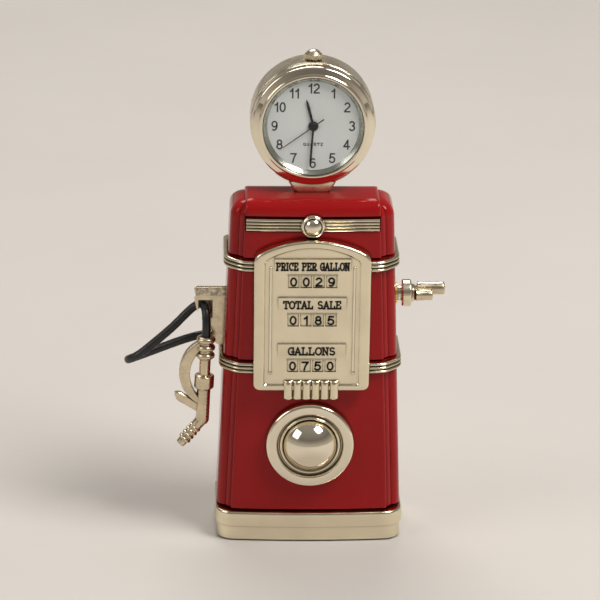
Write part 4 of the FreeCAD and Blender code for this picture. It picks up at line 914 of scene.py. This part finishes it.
# ---- the crown
# Knurled setting crown on the stem, plated, with a rounded cap. It pulls out to
# set the hands.
crown_low, crown_high = span("crown")
CROWN_RADIUS = (crown_high[0] - crown_low[0]) / 2
crown_at = (0, (crown_low[1] + crown_high[1]) / 2, 0.0)
KNURLS, KNURL_DEPTH = 30, 0.045
foot, tip = crown_low[2], crown_high[2]
cap = from_corner(0, foot, (0, 0.9), (0.95, 0.9), (0.95, 0))
cap += from_corner(CROWN_RADIUS, foot, (-0.15, 0), (0, 0.18), (0, 1.0), (-0.2, 1.15), (-0.35, 1.3))
cap += [(CROWN_RADIUS - 0.95, tip - 0.22), (0, tip)]
cap = soften(cap, [0, 0.05, 0.05, 0.08, 0.08, 0.08, 0.05, 0.25, 0.7, 0], closed=False)
knob = turned(cap, (0, 0, 0), "z", 240)
angle = np.arange(240) * 2 * math.pi / 240
skirt = np.clip(np.minimum(cap[:, 1] - foot - 0.05, foot + 1.12 - cap[:, 1]) / 0.12, 0, 1) * (
    cap[:, 0] > 1.5)
knurl = 1 - KNURL_DEPTH * np.outer(skirt, np.abs(np.sin(KNURLS / 2 * angle)))
knob[..., :2] *= knurl[..., None]
piece("knurled_crown", knob + np.array(crown_at), cast, "crown", "crown", crease=45.0)


# ---- the crank
# Turned steel shaft in a bushing on the right side, with a plated collar and a
# cranked handle of two short bars side by side.
CRANK_Y, CRANK_Z, SPINDLE = 1.0, 55.0, 1.7
crank_at = (0, CRANK_Y, CRANK_Z)
coat(steel, "crank_clip")
coat(brass, "crank_bushing")
shaft_low, shaft_high = span("crank_shaft")
shaft_line = soften(
    [(0, shaft_low[0]), (SPINDLE, shaft_low[0]), (SPINDLE, shaft_high[0]), (0, shaft_high[0])],
    [0, 0.15, 0.15, 0], closed=False)
piece("crank_spindle", lathe(shaft_line, crank_at, "x", 64), nickel, "crank_shaft", "crank")
collar_low, collar_high = span("crank_collar")
start, end = collar_low[0], collar_high[0]
collar_line = soften(
    [(SPINDLE, start), (2.85, start), (3.05, start + 0.25), (3.05, end - 1.2), (2.8, end - 0.95),
    (2.15, end - 0.9), (1.95, end - 0.35), (SPINDLE, end)], [0.05, 0.1, 0.2, 0.2, 0.15, 0.2, 0.2, 0.05],
    steps=6)
piece(
    "crank_flange", lathe(collar_line, crank_at, "x", 96, loop=True), nickel, "crank_collar", "crank",
    crease=50.0)

COUNTER_Y, GRIP_Y = CRANK_Y - 1.3, CRANK_Y + 2.8
counter = soften(
    [(0, 23.45), (1.45, 23.45), (1.3, 24.1), (1.2, 26.9), (1.0, 27.15), (0, 27.15)],
    [0, 0.15, 0.3, 0.3, 0.12, 0], closed=False)
grip = soften(
    [(0, 23.9), (1.35, 23.9), (1.5, 24.3), (1.42, 27.0), (1.5, 29.8), (1.2, 30.1), (0, 30.1)],
    [0, 0.2, 0.3, 1.2, 0.3, 0.2, 0], closed=False)
arm_rows = soften([(0, 23.5), (1.0, 23.5), (1.0, 25.6), (0, 25.6)], [0, 0.35, 0.35, 0], closed=False)
turn = np.linspace(0, 2 * math.pi, 48, endpoint=False)
ARM_HALF = (2.2, 1.15)
oval_y = np.sign(np.cos(turn)) * np.abs(np.cos(turn)) ** 0.55 * ARM_HALF[0]
oval_z = np.sign(np.sin(turn)) * np.abs(np.sin(turn)) ** 0.75 * ARM_HALF[1]
arm = grid_of(
    arm_rows[:, 1:], (COUNTER_Y + GRIP_Y) / 2 + oval_y * arm_rows[:, :1],
    CRANK_Z + oval_z * arm_rows[:, :1])
handle = united(
    "handle", mesh_of("arm", [surface(arm)]), mesh_of("counter",
    lathe(counter, (0, COUNTER_Y, CRANK_Z), "x", 48)), mesh_of("grip",
    lathe(grip, (0, GRIP_Y, CRANK_Z + 0.15), "x", 48)))
piece("cranked_handle", handle, cast, "crank_handle", "crank", crease=35.0)


# ---- the holster
# Cast holster riveted to the left side, open at its upper left, where the hose
# passes through and hangs the nozzle.
holster_low, holster_high = span("holster")
left, top = holster_low[0], holster_high[2]
near, far = holster_low[1], holster_high[1]
HOLSTER_RIGHT, HOLSTER_DEEP = -17.4, 11.0
shape = from_corner(
    left, top, (0, 0), (0, -0.8), (0.5, -3.0), (1.5, -4.9), (3.5, -9.1), (4.8, -HOLSTER_DEEP))
shape = [(HOLSTER_RIGHT, top), *shape, (HOLSTER_RIGHT, top - HOLSTER_DEEP)]
outline = soften(shape, [0.1, 0.3, 0.1, 0.6, 0.6, 0.8, 0.4, 0.1], steps=5)[::-1]
rings = stamping(outline, near, far, 0.22)
solid = mesh_of("holster", [surface(rings[..., [0, 2, 1]])])


def chamber(x, y, height, ease=0.2):
    """A block with eased upright edges, to hollow something out."""
    middle = ((x[0] + x[1]) / 2, (y[0] + y[1]) / 2)
    rings = bowed_plan(np.array(height), (x[1] - x[0]) / 2, y[0], y[1], ease, bow=0.0, steps=5, stations=2)
    rings[..., 0] += middle[0]
    return mesh_of("chamber", [surface(rings)])


room = (top - 5.4, top - 0.8)
solid = united(
    "holster", solid, chamber((left + 0.5, left + 4.1), (near + 0.6, far - 0.6), room),
    chamber((left + 0.6, left + 3.8), (near - 1.0, near + 1.0), (top - 5.0, top - 0.82)),
    chamber((left - 1.0, left + 1.2), (near + 0.8, far - 1.0), (top - 5.2, top - 0.84)), how="DIFFERENCE")
piece("cast_holster", solid, cast, "holster", crease=28.0)
coat(black_plastic, "hose_ferrule")


# ---- the nozzle
# Cast toy nozzle, plated: ringed inlet, two collars, barrel, bent spout with
# rings at its tip, a bowed guard and a short lever. It hangs from the hose.
NOZZLE_AT = np.array((-23.0, -4.1, 46.6))
NOZZLE_LEAN = math.radians(2.4)


def hung(points):
    """Turns points of the upright nozzle by its lean and hangs them in place."""
    c, s = math.cos(NOZZLE_LEAN), math.sin(NOZZLE_LEAN)
    x = points[..., 0] * c + points[..., 2] * s
    up = points[..., 2] * c - points[..., 0] * s
    return grid_of(x, points[..., 1], up) + NOZZLE_AT


def ringed(heights, plain, centres, ring, tube):
    """Radii along a stem: the plain one, or a bead's where it stands out more,
    ring + sqrt(tube^2 - d^2) at a distance d from the bead's middle."""
    gap = np.abs(heights[:, None] - np.asarray(centres)[None, :]).min(1)
    return np.maximum(plain, ring + np.sqrt(np.clip(tube ** 2 - gap ** 2, 0, None)) - 9.0 * (gap > tube))


HOSE_HOLE = HOSE_WIDTH / 2 + 0.06
STEM_RADIUS, STEM_FOOT = 1.5, -19.6
inlet_z = np.linspace(-0.12, -5.3, 110)
inlet = np.column_stack([ringed(inlet_z, STEM_RADIUS, (-0.75, -2.6, -4.45), 1.42, 0.68), inlet_z])
lower = soften(
    [(1.25, -5.5), (1.25, -8.95), (1.9, -9.1), (2.2, -9.3), (2.2, -11.9), (1.95, -12.2),
    (STEM_RADIUS, -12.35), (STEM_RADIUS, -19.5)], [0.1, 0.2, 0.15, 0.2, 0.2, 0.15, 0.2, 0], closed=False)
ball = arc_line(STEM_RADIUS, STEM_FOOT, 0, -90, 16)
mouth = [(0, -2.5), (HOSE_HOLE, -2.5), (HOSE_HOLE, 0), (1.35, 0)]
stem_line = np.vstack([mouth, inlet, lower, ball])
piece(
    "nozzle_stem", hung(turned(stem_line, (0, 0, 0), "z", 64)), cast, "nozzle_body", "nozzle", crease=40.0)

SPOUT_BEND = math.radians(37)
along = np.linspace(0.2, 7.6, 130)
plain = 1.35 - 0.3 * along / 7.8
spout_radius = ringed(along, plain, 2.6 + 1.15 * np.arange(4), 1.12, 0.36)
spout_line = np.vstack([
    [(0, 0.2)], np.column_stack([spout_radius, along]), [(0.95, 7.8), (0.72, 7.78), (0.70, 5.5), (0, 5.4)]])
tube = turned(spout_line, (0, 0, 0), "z", 48)
c, s = math.cos(SPOUT_BEND), math.sin(SPOUT_BEND)
bent = grid_of(
    tube[..., 0] * c - tube[..., 2] * s, tube[..., 1], STEM_FOOT - tube[..., 2] * c - tube[..., 0] * s)
piece("nozzle_tip", hung(bent), cast, "nozzle_spout", "nozzle", crease=40.0)


def through(first, middle, last, steps=40):
    """The circle through three points, from the first to the last."""
    (ax, ay), (bx, by), (cx, cy) = first, middle, last
    d = 2 * (ax * (by - cy) + bx * (cy - ay) + cx * (ay - by))
    squares = (ax * ax + ay * ay, bx * bx + by * by, cx * cx + cy * cy)
    ux = np.dot(squares, (by - cy, cy - ay, ay - by)) / d
    uy = np.dot(squares, (cx - bx, ax - cx, bx - ax)) / d
    radius = math.hypot(ax - ux, ay - uy)
    turn = np.unwrap([math.atan2(y - uy, x - ux) for x, y in (first, middle, last)])
    angle = np.linspace(turn[0], turn[2], steps)
    return np.column_stack([ux + radius * np.cos(angle), uy + radius * np.sin(angle)])


outer = through((-0.6, -0.6), (-5.6, -7.3), (-0.6, -16.1))
inner = through((-0.6, -2.9), (-3.2, -8.2), (-0.6, -14.6))
GUARD_HALF, LEVER_HALF = 0.95, 0.65
corner = soften([(0, -GUARD_HALF), (1, -GUARD_HALF), (1, GUARD_HALF), (0, GUARD_HALF)], 0.3, steps=5)
blend = corner[None, :, :1]
place = outer[:, None] * (1 - blend) + inner[:, None] * blend
guard = grid_of(place[..., 0], corner[:, 1], place[..., 1])
piece("bowed_guard", hung(guard), cast, "nozzle_guard", "nozzle", crease=45.0)

lever_outline = soften(
    [(-0.9, -18.0), (-5.9, -15.3), (-6.6, -13.5), (-5.3, -13.3), (-0.9, -15.95)],
    [0.1, 0.7, 0.4, 0.6, 0.1], steps=5)
rings = stamping(lever_outline[::-1], -LEVER_HALF, LEVER_HALF, 0.2)
piece("squeeze_lever", hung(rings[..., [0, 2, 1]]), cast, "nozzle_lever", "nozzle", crease=40.0)


# ---- the table and the light
# Pale paper under the clock. A broad light from the upper right, a weaker one
# from the left, and a warm room that the plating shows.
FLOOR_SIZE = 3.0
edge = np.array([(-1, -1), (1, -1), (1, 1), (-1, 1)]) * FLOOR_SIZE
floor_mesh = bpy.data.meshes.new("table")
floor_mesh.from_pydata([(x, y, 0.0) for x, y in edge], [], [(0, 1, 2, 3)])
floor = placed("table", floor_mesh)
floor_mesh.materials.append(coating("table_paper", (0.545, 0.522, 0.497), 0.8, (0.015, 60.0, 0.05)))

LIGHTS = (
    ("key", (0.50, -0.30, 0.85), 0.40, 8.5, (1.0, 0.96, 0.91)),
    ("fill", (-0.80, -0.35, 0.60), 0.50, 2.1, (1.0, 0.97, 0.93)),
    ("back", (-0.10, 0.60, 0.90), 0.60, 5.5, (1.0, 0.96, 0.90)),
)
for name, at, size, power, colour in LIGHTS:
    light = bpy.data.lights.new(name, "AREA")
    light.size, light.energy, light.color = size, power, colour
    lamp = placed(name, light)
    lamp.location = at
    lamp.rotation_euler = (Vector((0, 0, 0.05)) - Vector(at)).to_track_quat("-Z", "Y").to_euler()

room = bpy.data.worlds.new("room")
bpy.context.scene.world = room
room.use_nodes = True
nodes, links = room.node_tree.nodes, room.node_tree.links
place = nodes.new("ShaderNodeTexCoord")
split = nodes.new("ShaderNodeSeparateXYZ")
ramp = nodes.new("ShaderNodeValToRGB")
links.new(place.outputs["Generated"], split.inputs["Vector"])
links.new(split.outputs["Z"], ramp.inputs["Fac"])
STOPS = ((0, (0.50, 0.47, 0.42)), (0.10, (0.38, 0.35, 0.31)), (0.35, (0.17, 0.155, 0.145)),
         (1.0, (0.30, 0.285, 0.27)))
ramp.color_ramp.elements[0].position = STOPS[0][0]
ramp.color_ramp.elements[1].position = STOPS[-1][0]
for place_on, _ in STOPS[1:-1]:
    ramp.color_ramp.elements.new(place_on)
for stop, (_, colour) in zip(ramp.color_ramp.elements, STOPS):
    stop.color = (*colour, 1.0)
links.new(ramp.outputs["Color"], nodes["Background"].inputs["Color"])
nodes["Background"].inputs["Strength"].default_value = 1.0
